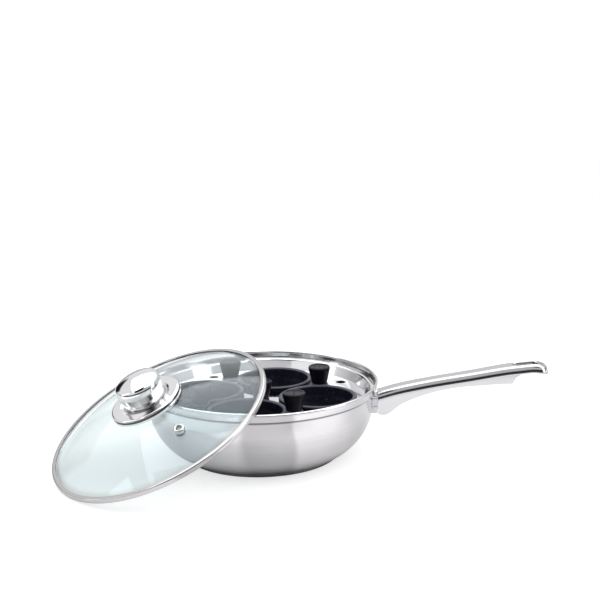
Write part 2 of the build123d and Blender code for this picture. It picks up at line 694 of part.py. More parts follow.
def lid_washer():
    """The steel washer under the lower gasket."""
    top = lid_washer_top()
    ring = rod(GASKET_R, top - WASHER_THICK, top)
    return ring - rod(LID_SCREW_R + SCREW_SLIP, top - WASHER_THICK - OVERRUN, top + OVERRUN)


def lid_screw():
    """The screw that holds the knob, its core and the plate on the glass."""
    seat = lid_washer_top() - WASHER_THICK
    grip = PLATE_SEAT_Z + PLATE_SHEET + LID_SCREW_GRIP - seat
    return screw(seat, grip, LID_SCREW_R, LID_SCREW_HEAD_R, LID_SCREW_HEAD_THICK)


def vent_grommet():
    """The steel eyelet of the steam vent, in the vent's own frame and then on the dome."""
    top = GLASS_THICK + GLASS_SLIP + VENT_STAND
    barrel = rod(VENT_BARREL_R, GLASS_THICK + GLASS_SLIP, top)
    rim = barrel.edges().filter_by(GeomType.CIRCLE).sort_by(Axis.Z)[-1]
    barrel = fillet(rim, VENT_ROUND)
    tube = rod(VENT_TUBE_R, -GLASS_SLIP - VENT_LIP_THICK, GLASS_THICK + VENT_STAND)
    lip = rod(VENT_BARREL_R, -GLASS_SLIP - VENT_LIP_THICK, -GLASS_SLIP)
    bore = rod(VENT_HOLE_R, -OVERRUN, top + OVERRUN)
    return vent_frame() * (barrel + tube + lip - bore)


# The whole pan, as named pieces

def cup_pieces():
    """The three pieces of each cup, named by where the cup sits."""
    pieces = {}
    bowl, grip, fixing = cup_bowl(), cup_knob(), cup_screw()
    for name, bearing in zip(CUP_NAMES, cup_bearings()):
        place = cup_place(bearing)
        pieces[f"cup_{name}_bowl"] = place * bowl
        pieces[f"cup_{name}_knob"] = place * grip
        pieces[f"cup_{name}_screw"] = place * fixing
    return pieces


def lid_pieces():
    """The pieces of the lid, leant where it rests."""
    makers = {
        "lid_glass": lid_glass,
        "lid_band": lid_band,
        "lid_gaskets": lid_gaskets,
        "lid_washer": lid_washer,
        "lid_screw": lid_screw,
        "lid_knob_plate": knob_plate,
        "lid_knob_core": lid_knob_core,
        "lid_knob": lid_knob,
        "lid_vent": vent_grommet,
    }
    return {name: lid_place() * maker() for name, maker in makers.items()}


def all_pieces():
    pieces = {
        "pan_body": pan_body(),
        "base_core": base_core(),
        "base_cap": base_cap(),
        "handle": handle(),
        "handle_bracket": handle_bracket(),
        "rack_plate": rack_plate(),
        "rack_knob": rack_knob(),
        "rack_washer": rack_washer(),
        "rack_screw": rack_screw(),
    }
    return pieces | cup_pieces() | lid_pieces()


os.makedirs("parts", exist_ok=True)
for node, piece in all_pieces().items():
    export_step(piece, f"parts/{node}.step")
    print(node, round(piece.volume))
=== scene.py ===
# %% [markdown]
# # An egg poacher pan, dressed for its picture
#
# The pan stands on a pale table. A steel rack hangs in its mouth, four dark egg cups sit in the
# rack, and the domed glass lid leans on the rim beside them. The measured model comes first and
# stays where it is. What we do here is give each piece a smooth surface and a true finish.

import bmesh
import bpy
import numpy as np
from mathutils import Matrix, Vector


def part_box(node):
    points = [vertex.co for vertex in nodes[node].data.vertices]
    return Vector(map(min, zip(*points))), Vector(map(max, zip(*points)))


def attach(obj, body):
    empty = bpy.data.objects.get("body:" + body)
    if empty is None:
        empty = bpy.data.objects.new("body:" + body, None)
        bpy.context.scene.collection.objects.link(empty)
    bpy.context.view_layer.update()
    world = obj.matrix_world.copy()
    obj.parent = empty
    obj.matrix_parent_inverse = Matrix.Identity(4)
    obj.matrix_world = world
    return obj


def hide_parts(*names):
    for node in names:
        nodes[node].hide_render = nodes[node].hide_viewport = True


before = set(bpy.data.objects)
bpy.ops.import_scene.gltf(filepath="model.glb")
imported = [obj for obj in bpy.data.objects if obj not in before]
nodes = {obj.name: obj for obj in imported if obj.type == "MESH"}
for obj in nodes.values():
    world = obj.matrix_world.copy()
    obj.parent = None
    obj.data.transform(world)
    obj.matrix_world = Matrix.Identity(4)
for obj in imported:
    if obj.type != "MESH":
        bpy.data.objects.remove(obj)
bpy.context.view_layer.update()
MM = 0.001
TAU = 2 * np.pi

# %% [markdown]
# ## Surfaces from numbers
#
# Nearly every piece of a pan is spun or pressed. So one helper turns a grid of points into a
# mesh, one rounds the corners of an outline, one gives a bent sheet its wall, and one spins an
# outline about the axis. They work on whole arrays, so a fine surface costs no more code than a
# coarse one. Sizes are in millimetres, and become metres where the mesh is made.


# %% A grid of points becomes a mesh
def add_object(name, data):
    """Put an object that holds this mesh, lamp or camera into the scene."""
    held = bpy.data.objects.new(name, data)
    bpy.context.scene.collection.objects.link(held)
    return held


def shade(piece, sharp):
    """Shade a piece smooth, with a hard edge where it turns by more than sharp degrees."""
    piece.data.shade_smooth()
    piece.data.set_sharp_from_angle(angle=np.radians(sharp))


def surface(name, grid, wrap_rows=False, wrap_columns=True, sharp=38):
    """Join neighbours of a (rows, columns, 3) grid in millimetres with four-sided faces.

    Corner (i, j) meets (i+1, j), (i+1, j+1) and (i, j+1); a wrapped side runs round to 0.
    """
    rows, columns = grid.shape[:2]
    i = np.arange(rows if wrap_rows else rows - 1)
    j = np.arange(columns if wrap_columns else columns - 1)
    i, j = np.meshgrid(i, j, indexing="ij")
    after_i, after_j = (i + 1) % rows, (j + 1) % columns
    corners = [(i, j), (after_i, j), (after_i, after_j), (i, after_j)]
    faces = np.stack([row * columns + column for row, column in corners], axis=-1).reshape(-1, 4)
    mesh = bpy.data.meshes.new(name)
    mesh.from_pydata((grid.reshape(-1, 3) * MM).tolist(), [], faces.tolist())
    piece = add_object(name, mesh)
    close_up(piece)
    shade(piece, sharp)
    return piece


def close_up(piece):
    """Weld the points that coincide, close what is open and point the faces one way."""
    work = bmesh.new()
    work.from_mesh(piece.data)
    bmesh.ops.remove_doubles(work, verts=work.verts, dist=2e-6)
    bmesh.ops.holes_fill(work, edges=[edge for edge in work.edges if edge.is_boundary], sides=0)
    bmesh.ops.recalc_face_normals(work, faces=work.faces)
    work.to_mesh(piece.data)
    work.free()


def rounded(points, radii, steps=10):
    """Round an open outline: each inner corner becomes an arc that is tangent to both sides.

    The arc starts radius * tan(turn / 2) before the corner, and its points go round the centre.
    """
    points = np.asarray(points, float)
    out = [points[:1]]
    for before, corner, after, radius in zip(points, points[1:], points[2:], radii):
        back, on = before - corner, after - corner
        back, on = back / np.linalg.norm(back), on / np.linalg.norm(on)
        half = np.arccos(np.clip(back @ on, -1, 1)) / 2
        if radius <= 0 or half > np.pi / 2 - 1e-4:
            out.append(corner[None])
            continue
        reach = radius / np.tan(half)
        centre = corner + (back + on) / np.linalg.norm(back + on) * radius / np.sin(half)
        start, end = corner + back * reach - centre, corner + on * reach - centre
        turn = np.arctan2(start[0] * end[1] - start[1] * end[0], start @ end)
        t = np.linspace(0, turn, steps)[:, None]
        side = np.array([-start[1], start[0]])
        out.append(centre + start * np.cos(t) + side * np.sin(t))
    out.append(points[-1:])
    return np.concatenate(out)


def shifted(path, amount):
    """Move an outline to its left by amount, along the mean normal of the sides at each point."""
    step = np.diff(path, axis=0)
    step /= np.linalg.norm(step, axis=1)[:, None]
    normal = np.stack([-step[:, 1], step[:, 0]], axis=1)
    mean = np.concatenate([normal[:1], normal[:-1] + normal[1:], normal[-1:]])
    length = np.linalg.norm(mean, axis=1)
    miter = np.concatenate([[1], length[1:-1] / 2, [1]])
    return path + mean / length[:, None] * (amount / miter)[:, None]


def walled(path, sheet):
    """The closed section of a bent sheet: its outer line, then its inner line back again."""
    return np.concatenate([path, shifted(path, sheet)[::-1]])


def finer(path, longest):
    """Divide the long sides of an outline, so that no side is longer than longest."""
    out = [path[:1]]
    for a, b in zip(path, path[1:]):
        count = max(1, int(np.ceil(np.linalg.norm(b - a) / longest)))
        out.append(a + (b - a) * (np.arange(1, count + 1) / count)[:, None])
    return np.concatenate(out)


def spun(section, turns=256):
    """Turn an outline of (radius, height) about the upright axis: x = r cos a, y = r sin a."""
    angle = np.arange(turns) / turns * TAU
    radius, height = section[:, :1], section[:, 1:]
    return np.stack([radius * np.cos(angle), radius * np.sin(angle), height + 0 * angle], axis=-1)


def arc(centre, radius, degrees):
    """Points on a circle round a centre, at these angles."""
    way = np.radians(degrees)
    return np.stack([centre[0] + radius * np.cos(way), centre[1] + radius * np.sin(way)], axis=1)


# %% [markdown]
# A piece is often easiest to make upright about its own axis. A 4 by 4 matrix then carries it to
# its place. Holes are cut with solid plugs, which are thrown away afterwards.


# %% Placing and cutting
def placed(grid, place):
    """Carry points through a 4 by 4 placing matrix in millimetres."""
    return grid @ place[:3, :3].T + place[:3, 3]


def frame_at(origin, x_axis, z_axis):
    """A placing matrix from an origin and two axes."""
    x, z = np.asarray(x_axis, float), np.asarray(z_axis, float)
    place = np.eye(4)
    place[:3, 0], place[:3, 1], place[:3, 2], place[:3, 3] = x, np.cross(z, x), z, origin
    return place


def upright_frame(x, y, z, bearing):
    """A placing matrix for a piece that stands upright and faces a bearing."""
    way = np.radians(bearing)
    return frame_at((x, y, z), (np.cos(way), np.sin(way), 0), (0, 0, 1))


def cut(piece, cutter, sharp=38):
    """Take one solid out of another, keep the result as a plain mesh and drop the cutter."""
    tool = piece.modifiers.new("cut", "BOOLEAN")
    tool.operation, tool.solver, tool.object = "DIFFERENCE", "EXACT", cutter
    seen = piece.evaluated_get(bpy.context.evaluated_depsgraph_get())
    result = bpy.data.meshes.new_from_object(seen)
    piece.modifiers.clear()
    piece.data = result
    bpy.data.objects.remove(cutter)
    shade(piece, sharp)


# %% [markdown]
# ## Shader sums as plain sums
#
# Every finish below is a little arithmetic on positions and noise. A small class wraps a socket,
# so that a sum in Python adds the Math nodes. A second class is a material in the making.


# %% A socket that can be added and multiplied
class Value:
    """One output of a node; the usual operators add Math nodes to the same material."""

    def __init__(self, shop, socket):
        self.shop, self.socket = shop, socket

    def _sum(self, operation, *terms):
        return self.shop.node("ShaderNodeMath", {"operation": operation}, dict(enumerate(terms)))

    def __add__(self, other):
        return self._sum("ADD", self, other)

    def __sub__(self, other):
        return self._sum("SUBTRACT", self, other)

    def __rsub__(self, other):
        return self._sum("SUBTRACT", other, self)

    def __mul__(self, other):
        return self._sum("MULTIPLY", self, other)

    def __pow__(self, other):
        return self._sum("POWER", self, other)

    __radd__ = __add__
    __rmul__ = __mul__

    def apply(self, operation, *terms):
        return self._sum(operation, self, *terms)


class Finish:
    """A material in the making."""

    def __init__(self, name, **fixed):
        self.name = name
        self.material = bpy.data.materials.new(name)
        self.material.use_nodes = True
        self.tree = self.material.node_tree
        self.shader = self.tree.nodes["Principled BSDF"]
        for socket, value in fixed.items():
            self.shader.inputs[socket.replace("_", " ")].default_value = value

    def node(self, kind, settings, sockets, output=0):
        """Add a node: its settings first, then the values or links of its sockets."""
        made = self.tree.nodes.new(kind)
        for key, value in settings.items():
            setattr(made, key, value)
        for key, value in sockets.items():
            if isinstance(value, Value):
                self.tree.links.new(value.socket, made.inputs[key])
            else:
                made.inputs[key].default_value = value
        return Value(self, made.outputs[output])

    def feed(self, socket, value):
        self.tree.links.new(value.socket, self.shader.inputs[socket])

    def fed(self, socket):
        """What feeds one of the shader's sockets so far."""
        return Value(self, self.shader.inputs[socket].links[0].from_socket)

    def lay_over(self, share, colour):
        """Lay a colour over the base colour that is there so far."""
        self.feed("Base Color", self.mix(share, self.fed("Base Color"), colour))

    def place(self, centre=(0, 0, 0), turn=(0, 0, 0), scale=(1, 1, 1)):
        """Object coordinates, moved and turned onto a piece."""
        here = self.node("ShaderNodeTexCoord", {}, {}, "Object")
        sockets = {"Vector": here, "Location": centre, "Rotation": turn, "Scale": scale}
        return self.node("ShaderNodeMapping", {"vector_type": "TEXTURE"}, sockets)

    def noise(self, where, scale, detail, rough):
        sockets = {"Vector": where, "Scale": scale, "Detail": detail, "Roughness": rough}
        return self.node("ShaderNodeTexNoise", {}, sockets)

    def split(self, where):
        made = self.node("ShaderNodeSeparateXYZ", {}, {0: where})
        return [Value(self, out) for out in made.socket.node.outputs]

    def join(self, x, y, z):
        return self.node("ShaderNodeCombineXYZ", {}, {0: x, 1: y, 2: z})

    def ramp(self, value, low, high):
        """0 up to low, 1 from high on, and a smooth step between them."""
        settings = {"interpolation_type": "SMOOTHSTEP"}
        return self.node("ShaderNodeMapRange", settings, {0: value, 1: low, 2: high})

    def between(self, value, low, high, rise, fall):
        """0 outside low and high, 1 inside, with a smooth step of its own width at each end."""
        return self.ramp(value, low, low + rise) * self.ramp(high - value, 0.0, fall)

    def mix(self, share, first, second):
        sockets = {0: share, 6: first, 7: second}
        return self.node("ShaderNodeMix", {"data_type": "RGBA"}, sockets, 2)

    def bump(self, height, strength, distance):
        sockets = {"Height": height, "Strength": strength, "Distance": distance}
        self.feed("Normal", self.node("ShaderNodeBump", {}, sockets))


# %% [markdown]
# A finished piece gets its material, rides on its body and takes the place of the measured
# solids that it stands for. Small hidden solids stay as they are and only get a material.


# %% Paint a piece and hand it over
def paint(piece, finish):
    piece.data.materials.clear()
    piece.data.materials.append(finish.material)


def settle(piece, body, finish, *replaced):
    """Hand a finished piece to its body, its finish and the solids that it stands for."""
    paint(piece, finish)
    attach(piece, body)
    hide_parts(*replaced)
    print(piece.name, "has", len(piece.data.vertices), "points")


def repaint_node(name, finish):
    """Give a measured solid that stays in view its finish, in the slots that it has."""
    solid = nodes[name]
    if not solid.material_slots:
        solid.data.materials.append(finish.material)
    for held in solid.material_slots:
        held.material = finish.material


# %% [markdown]
# ## Steel
#
# The pan is stainless steel, spun and then buffed round its axis. Buffing leaves very fine rings,
# so the roughness and a slight bump follow the distance from the axis, and a broad noise keeps
# large faces from looking printed. One function makes each steel with its own gloss. It keeps the
# radius and height that it works out, for the painted shade and painted dark reflections that some
# pieces get on top.


# %% Steel turned about an axis
def turned_steel(name, colour, gloss, rings, centre=(0, 0, 0), turn=(0, 0, 0),
                 bump=0.05, stretch=0.0, spread=0.05):
    """Gloss is the mean roughness, rings the scale of the noise, spread how far colours vary."""
    finish = Finish(name, Metallic=1.0, IOR=2.5, Anisotropic=stretch, Anisotropic_Rotation=0.25)
    here = finish.place(centre, turn)
    x, y, finish.height = finish.split(here)
    finish.radius = (x * x + y * y) ** 0.5
    ring = finish.noise(finish.join(finish.radius, finish.height, 0.0), rings, 4, 0.7)
    broad = finish.noise(here, 28.0, 2, 0.5)
    rough = (ring - 0.5) * (0.35 * gloss) + (broad - 0.5) * (0.25 * gloss) + gloss
    finish.feed("Roughness", rough)
    pale = tuple(min(1.0, share * (1 + spread)) for share in colour) + (1,)
    dark = tuple(share * (1 - spread) for share in colour) + (1,)
    finish.feed("Base Color", finish.mix(finish.ramp(ring + broad, 0.7, 1.3), dark, pale))
    finish.bump(ring, bump, 0.0001)
    return finish


# %% [markdown]
# ## The pan
#
# The body is one pressing: a flat floor, a flared bowl, a straight wall, a step out and a short
# collar that ends in a rolled bead. We write its outer line once, round its corners, give it its
# wall, and let the bead take the place of the top edge. A dark line runs under the step, where
# the crease sees little light, so the steel is darkened at that height.

# %% The pan's body
RIM_R, PAN_HEIGHT, PAN_SHEET, BEAD_R = 102.0, 65.5, 0.8, 1.3
FOOT_R, WALL_R, COLLAR_R = 69.5, 97.8, 101.4
FOOT_Z, LEDGE_Z, COLLAR_Z = 3.4, 58.0, 63.0
BEAD_RING_R, BEAD_Z = RIM_R - BEAD_R, PAN_HEIGHT - BEAD_R
FLARE_ANGLE = np.radians(27.5)
FLARE_Z = FOOT_Z + (WALL_R - FOOT_R) * np.tan(FLARE_ANGLE)

pan_steel = turned_steel("pan_steel", (0.72, 0.71, 0.72), 0.17, 900.0, stretch=0.55)
crease_low, crease_high = (LEDGE_Z - 2.6) * MM, (LEDGE_Z + 0.4) * MM
crease = pan_steel.between(pan_steel.height, crease_low, crease_high, 1.2 * MM, 0.5 * MM)
crease = crease * pan_steel.ramp(pan_steel.radius, (WALL_R - 0.4) * MM, (WALL_R - 0.2) * MM)
pan_steel.lay_over(crease * 0.75, (0.08, 0.08, 0.085, 1))

outer_line = rounded(
    [(0, FOOT_Z), (FOOT_R, FOOT_Z), (WALL_R, FLARE_Z), (WALL_R, LEDGE_Z), (COLLAR_R - 0.7, LEDGE_Z),
     (COLLAR_R, COLLAR_Z)],
    [3, 50, 1.3, 1.3], 24)
inner_line = shifted(outer_line, PAN_SHEET)
bead = arc((BEAD_RING_R, BEAD_Z), BEAD_R, np.linspace(-57.4, 265.6, 28))
pan_section = np.concatenate([finer(outer_line, 4), bead, finer(inner_line[::-1], 4)])
pan = surface("pan_bowl", spun(pan_section, 320))
settle(pan, "pan", pan_steel, "pan_body")

# %% [markdown]
# Under the bowl a thin steel cap is folded round an aluminium disc. From the side it is a narrow
# dark ring: its steel is painted dark, a painted shade for the shadow under the bowl. The disc
# doesn't show, so it stays as measured.

# %% The cap under the base
CAP_R, CAP_HEIGHT, CAP_SHEET, CAP_ROUND = 67.4, 3.35, 0.6, 1.6

# The cap's steel is painted dark: a painted shade for the shadow under the bowl.
base_steel = turned_steel("base_steel", (0.24, 0.24, 0.255), 0.28, 1200.0, bump=0.12, stretch=0.6)
core_metal = turned_steel("core_metal", (0.66, 0.66, 0.67), 0.4, 600.0)
cap_line = rounded([(0, 0), (CAP_R, 0), (CAP_R, CAP_HEIGHT)], [CAP_ROUND])
cap = surface("base_shell", spun(walled(finer(cap_line, 5), CAP_SHEET)))
settle(cap, "pan", base_steel, "base_cap")
repaint_node("base_core", core_metal)

# %% [markdown]
# ## The rack
#
# The rack is a shallow pressed dish with a lip. It is spun like the pan, and then its four cup
# holes, four small steam holes and the knob's hole are cut out of it.

# %% The rack's dish and its holes
PLATE_Z, RACK_LEDGE_Z, RACK_TOP_Z, RACK_SHEET = 49.5, 58.8, 60.4, 0.7
RACK_FLOOR_R, RACK_LEDGE_R, RACK_R = 91.5, 95.2, 98.8
CUP_HOLE_R, CUP_RING_R = 31.9, 50.5
STEAM_HOLE_R, STEAM_RING_R, STEAM_TURN = 4.3, 84.0, 45.0
SCREW_HOLE_R = 2.1
PLUG_LOW, PLUG_HIGH = 40.0, 56.5
CUP_NAMES = ("right", "back", "left", "front")
bearings = -12.5 + 90.0 * np.arange(4)

rack_steel = turned_steel("rack_steel", (0.80, 0.80, 0.81), 0.09, 700.0)
rack_line = rounded(
    [(0, PLATE_Z - RACK_SHEET), (RACK_FLOOR_R, PLATE_Z - RACK_SHEET), (RACK_LEDGE_R, RACK_LEDGE_Z),
     (RACK_R, RACK_LEDGE_Z), (RACK_R, RACK_TOP_Z)],
    [2, 2, 0.8])
rack = surface("rack_dish", spun(walled(finer(rack_line, 8), RACK_SHEET), 288))


def plug(radius, x=0.0, y=0.0):
    """A plain closed bar through the rack's floor, which cuts a round hole."""
    section = np.array([(0, PLUG_LOW), (radius, PLUG_LOW), (radius, PLUG_HIGH), (0, PLUG_HIGH)])
    return surface("cutter", spun(section, 96) + np.array([x, y, 0.0]))


for bearing in bearings:
    holes = ((CUP_HOLE_R, CUP_RING_R, 0.0), (STEAM_HOLE_R, STEAM_RING_R, STEAM_TURN))
    for radius, ring_r, turned in holes:
        way = np.radians(bearing + turned)
        cut(rack, plug(radius, ring_r * np.cos(way), ring_r * np.sin(way)))
cut(rack, plug(SCREW_HOLE_R))
settle(rack, "rack", rack_steel, "rack_plate")

# %% [markdown]
# ## Black knobs
#
# Five knobs are alike: a tapered body with a bevelled edge, and a shallow round recess with three
# small dimples in a row. The dimples are a height added to a fine disc, so the recess stays one
# surface. At a distance d from its middle a dimple of radius r is DIMPLE_DEPTH times
# (1 - (d / r) squared) to the power 0.6 deep.

# %% One knob, standing on z = 0
KNOB_TOP_R, KNOB_FOOT_R, KNOB_HEIGHT, KNOB_EDGE, RECESS_R = 9.6, 6.7, 15.5, 0.8, 6.2
DIMPLE_R, DIMPLE_DEPTH, DIMPLE_PLACES = 0.95, 0.6, (-4.1, 0.0, 4.1)


def knob_grid():
    """Rings from the foot, up the side, over the edge and in across the dimpled recess."""
    floor = KNOB_HEIGHT - KNOB_EDGE
    side = rounded(
        [(0, 0), (KNOB_FOOT_R, 0), (KNOB_TOP_R, KNOB_HEIGHT - 2.6), (KNOB_TOP_R, floor),
         (KNOB_TOP_R - KNOB_EDGE, KNOB_HEIGHT), (RECESS_R + 1.3, KNOB_HEIGHT),
         (RECESS_R + 0.7, floor), (RECESS_R, floor)],
        [0.5, 1.0, 0.35, 0.35, 0.3, 0.3], 6)
    disc_r = np.linspace(RECESS_R, 0, 46)[1:]
    disc = np.stack([disc_r, 0 * disc_r + floor], axis=1)
    grid = spun(np.concatenate([side, disc]), 120)
    for place in DIMPLE_PLACES:
        away = np.hypot(grid[..., 0] - place, grid[..., 1]) / DIMPLE_R
        inside = (grid[..., 2] > floor - 0.4) & (away < 1)
        depth = DIMPLE_DEPTH * (1 - np.minimum(away, 1) ** 2) ** 0.6
        grid[..., 2] -= np.where(inside, depth, 0)
    return grid


# %% [markdown]
# The knobs are matt black plastic. The top of a cup's knob looks paler in the picture, so it gets a
# paler tone by its height: a painted highlight, for the light from above. The rack's knob stands
# lower and stays black.

# %% The knobs' black plastic
CUP_RIM_Z = 54.0

knob_black = Finish("knob_black", Metallic=0.0, IOR=1.5, Specular_IOR_Level=0.08)
knob_here = knob_black.place()
knob_grain = knob_black.noise(knob_here, 900.0, 3, 0.6)
knob_cloud = knob_black.noise(knob_here, 60.0, 2, 0.5)
knob_tone = knob_black.mix(knob_cloud, (0.003, 0.003, 0.006, 1), (0.007, 0.007, 0.012, 1))
recess_z = (CUP_RIM_Z + KNOB_HEIGHT - KNOB_EDGE) * MM
knob_height = knob_black.split(knob_here)[2]
# The top face of a cup's knob is painted paler: a painted highlight for the light from above.
painted_top_highlight = knob_black.ramp(knob_height, recess_z - 0.25 * MM, recess_z - 0.05 * MM)
knob_black.feed("Base Color", knob_black.mix(painted_top_highlight, knob_tone, (0.030, 0.030, 0.038, 1)))
knob_black.feed("Roughness", knob_grain * 0.16 + knob_cloud * 0.06 + 0.26)
knob_black.bump(knob_grain, 0.25, 0.0001)

grid_of_knob = knob_grid()
centre_knob = surface("rack_grip", placed(grid_of_knob, upright_frame(0, 0, PLATE_Z, 0)))
settle(centre_knob, "rack", knob_black, "rack_knob")

# %% [markdown]
# ## The egg cups
#
# A cup is a deep bowl with a flat rim that turns down, and the rim runs out on one side into a
# rounded ear that carries the knob. In polar form the rim is one smooth curve: a circle, joined
# to the ear by a soft maximum. The whole cup is then one sheet of rings inside that curve.

# %% The cup's rim in polar form
CUP_RIM_R, CUP_SHEET, CUP_FLOOR_Z, SKIRT_Z = 34.0, 1.1, 29.0, 49.7
EAR_REACH, EAR_R, EAR_BEARING, EAR_SOFT = 39.8, 7.6, 99.5, 3.0


def rim_radius(away):
    """Radius of the rim at an angle from the ear: the larger of circle and ear, blended softly.

    The ear is a tab as wide as its end circle, so its side is at EAR_R / sin(angle) and its end is
    at reach * cos(angle) + sqrt(EAR_R squared - (reach * sin(angle)) squared).
    """
    size = np.abs(away)
    sine = np.maximum(np.sin(np.minimum(size, np.pi / 2)), 1e-6)
    room = np.maximum(EAR_R ** 2 - (EAR_REACH * np.sin(size)) ** 2, 0)
    end = EAR_REACH * np.cos(size) + np.sqrt(room)
    ear = np.where(EAR_REACH * sine < EAR_R, end, np.minimum(EAR_R / sine, EAR_REACH))
    gap = np.clip((ear - CUP_RIM_R) / EAR_SOFT, -30, 30)
    return CUP_RIM_R + EAR_SOFT * np.log1p(np.exp(gap)) * np.where(size < 0.6, 1, 0)


def cup_grid():
    """Rings of the cup: the bowl's face, the rim's lip, the skirt, and the bowl's back.

    The back should be the underside, a sheet below the face. It lies a sheet above the face, so
    the two cross just below the rim. A minus before CUP_SHEET in the shift would mend that.
    """
    fine = np.linspace(-0.42, 0.42, 151)
    coarse = np.linspace(0.42, TAU - 0.42, 190)[1:-1]
    away = np.concatenate([fine, coarse])
    edge = rim_radius(away)
    skirt = np.minimum(edge, CUP_RIM_R)
    face = rounded(
        [(0, CUP_FLOOR_Z), (23, CUP_FLOOR_Z), (30.5, CUP_RIM_Z), (33.0, CUP_RIM_Z)], [20, 1.6], 26)
    back = shifted(face, CUP_SHEET)[::-1]
    back = back[(back[:, 0] < CUP_RIM_R - 1.2) & (back[:, 1] < CUP_RIM_Z - 1.0)]
    rings = list(finer(face[:-1], 2.5))
    for a in np.radians(np.linspace(90, 0, 8)):
        lip_z = CUP_RIM_Z - CUP_SHEET + CUP_SHEET * np.sin(a)
        rings.append((edge - CUP_SHEET + CUP_SHEET * np.cos(a), lip_z))
    rings += [
        (edge, CUP_RIM_Z - 2.0), (skirt, CUP_RIM_Z - 2.02),
        (skirt, SKIRT_Z + 0.2), (skirt - 0.2, SKIRT_Z), (skirt - 0.9, SKIRT_Z),
        (skirt - CUP_SHEET, SKIRT_Z + 0.2), (skirt - CUP_SHEET, CUP_RIM_Z - CUP_SHEET)]
    rings += list(finer(back, 3))
    radius, height = (
        np.array([np.broadcast_to(ring[part], edge.shape) for ring in rings]) for part in (0, 1))
    way = away + np.radians(EAR_BEARING)
    return np.stack([radius * np.cos(way), radius * np.sin(way), height], axis=-1)


# %% [markdown]
# The coating is sprayed on: nearly black, with faint pale specks of several sizes and a slight
# orange-peel skin. Specks are the cells of a Voronoi texture that happen to be bright, kept small
# by their distance to the cell's middle. A bluish painted sheen lies low in the bowl, where the
# light from above gathers, and the top of the rim is painted paler, a painted highlight on its
# rounding.

# %% The non-stick coating
SPECKS = 0.05
SPECK_CELLS = ((620.0, 0.72, 0.30), (330.0, 0.86, 0.26))

cup_coating = Finish("cup_coating", Metallic=0.0, IOR=1.5, Specular_IOR_Level=0.06)
cup_here = cup_coating.place()
peel = cup_coating.noise(cup_here, 420.0, 2, 0.5)
dust = cup_coating.noise(cup_here, 1500.0, 2, 0.7)
speck_share = cup_coating.ramp(dust, 0.53, 0.66) * SPECKS
for scale, keep, size in SPECK_CELLS:
    sockets = {"Vector": cup_here, "Scale": scale}
    from_middle = cup_coating.node("ShaderNodeTexVoronoi", {}, sockets, "Distance")
    cell = cup_coating.node("ShaderNodeTexVoronoi", {}, sockets, "Color")
    lucky = cup_coating.split(cell)[0].apply("GREATER_THAN", keep)
    speck = lucky * cup_coating.ramp(from_middle, size, size * 0.6)
    speck_share = speck_share + speck * (SPECKS * 1.2)
speck_share = speck_share.apply("MINIMUM", 1.0)

cup_low, cup_high = (corner[2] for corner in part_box("cup_right_bowl"))
cup_height = cup_coating.split(cup_here)[2]
# A painted sheen low in the bowl, and a painted highlight on the top of the rim.
painted_sheen = cup_coating.ramp(cup_low + 9 * MM - cup_height, 0.0, 6 * MM)
painted_rim_highlight = cup_coating.ramp(cup_height, cup_high - 1.4 * MM, cup_high - 0.5 * MM)
cup_colour = cup_coating.mix(painted_sheen, (0.002, 0.002, 0.007, 1), (0.024, 0.025, 0.050, 1))
cup_colour = cup_coating.mix(painted_rim_highlight, cup_colour, (0.075, 0.075, 0.095, 1))
cup_coating.feed("Base Color", cup_coating.mix(speck_share, cup_colour, (0.34, 0.34, 0.37, 1)))
cup_coating.feed("Roughness", peel * 0.14 + 0.27)
cup_coating.bump(peel, 0.35, 0.0002)

# %% [markdown]
# The four cups stand round the rack a quarter turn apart, each with its knob on its ear. The
# screws and the washer below the knobs stay as measured.

# %% The four cups
screw_steel = turned_steel("screw_steel", (0.66, 0.66, 0.68), 0.3, 1500.0)
grid_of_cup = cup_grid()
ear_way = np.radians(EAR_BEARING)
ear_x, ear_y = EAR_REACH * np.cos(ear_way), EAR_REACH * np.sin(ear_way)
grid_on_ear = placed(grid_of_knob, upright_frame(ear_x, ear_y, CUP_RIM_Z, EAR_BEARING - 90))
for name, bearing in zip(CUP_NAMES, bearings):
    way = np.radians(bearing)
    at = upright_frame(CUP_RING_R * np.cos(way), CUP_RING_R * np.sin(way), 0, bearing)
    bowl = surface(f"egg_cup_{name}", placed(grid_of_cup, at), sharp=50)
    settle(bowl, f"cup_{name}", cup_coating, f"cup_{name}_bowl")
    grip = surface(f"egg_cup_{name}_grip", placed(grid_on_ear, at))
    settle(grip, f"cup_{name}", knob_black, f"cup_{name}_knob")
    repaint_node(f"cup_{name}_screw", screw_steel)
repaint_node("rack_screw", screw_steel)
repaint_node("rack_washer", screw_steel)

# %% [markdown]
# ## The lid
#
# The lid leans: its low edge is on the table, and its steel band lies on the pan's rim. Its
# pieces are spun upright in the lid's own frame, whose origin is in the middle of the band's flat
# underside, and then carried to that place. Three facts give it:
#
# - The band's rounded low edge touches the table, which gives the origin's height, low_z.
# - The middle line of the pan's bead lies BEAD_R and a small gap below the underside. Its height
#   over the origin is climb, so its level distance from the origin is touch.
# - The contacts are where that line crosses the band's inner lip. Along the underside they are at
#   the distance along, and to each side at across. The rest of the way to the pan's axis is the
#   bead's own circle, which gives reach.

# %% Where the lid leans
LID_TILT, LID_BEARING, LID_R = np.radians(26.96), np.radians(212.66), 98.6
BAND_SHEET, BAND_ROUND, BAND_LIP_R, RIM_GAP = 0.5, 1.1, LID_R - 3.6, 0.3
GLASS, GLASS_SLIP, GLASS_RISE = 3.4, 0.12, 21.5
FLANGE_Z, FLANGE_R = BAND_SHEET + GLASS_SLIP, LID_R - 4.8
DOME_R = (FLANGE_R ** 2 + GLASS_RISE ** 2) / (2 * GLASS_RISE)
DOME_Z = FLANGE_Z + GLASS_RISE - DOME_R
GLASS_TOP = FLANGE_Z + GLASS_RISE + GLASS

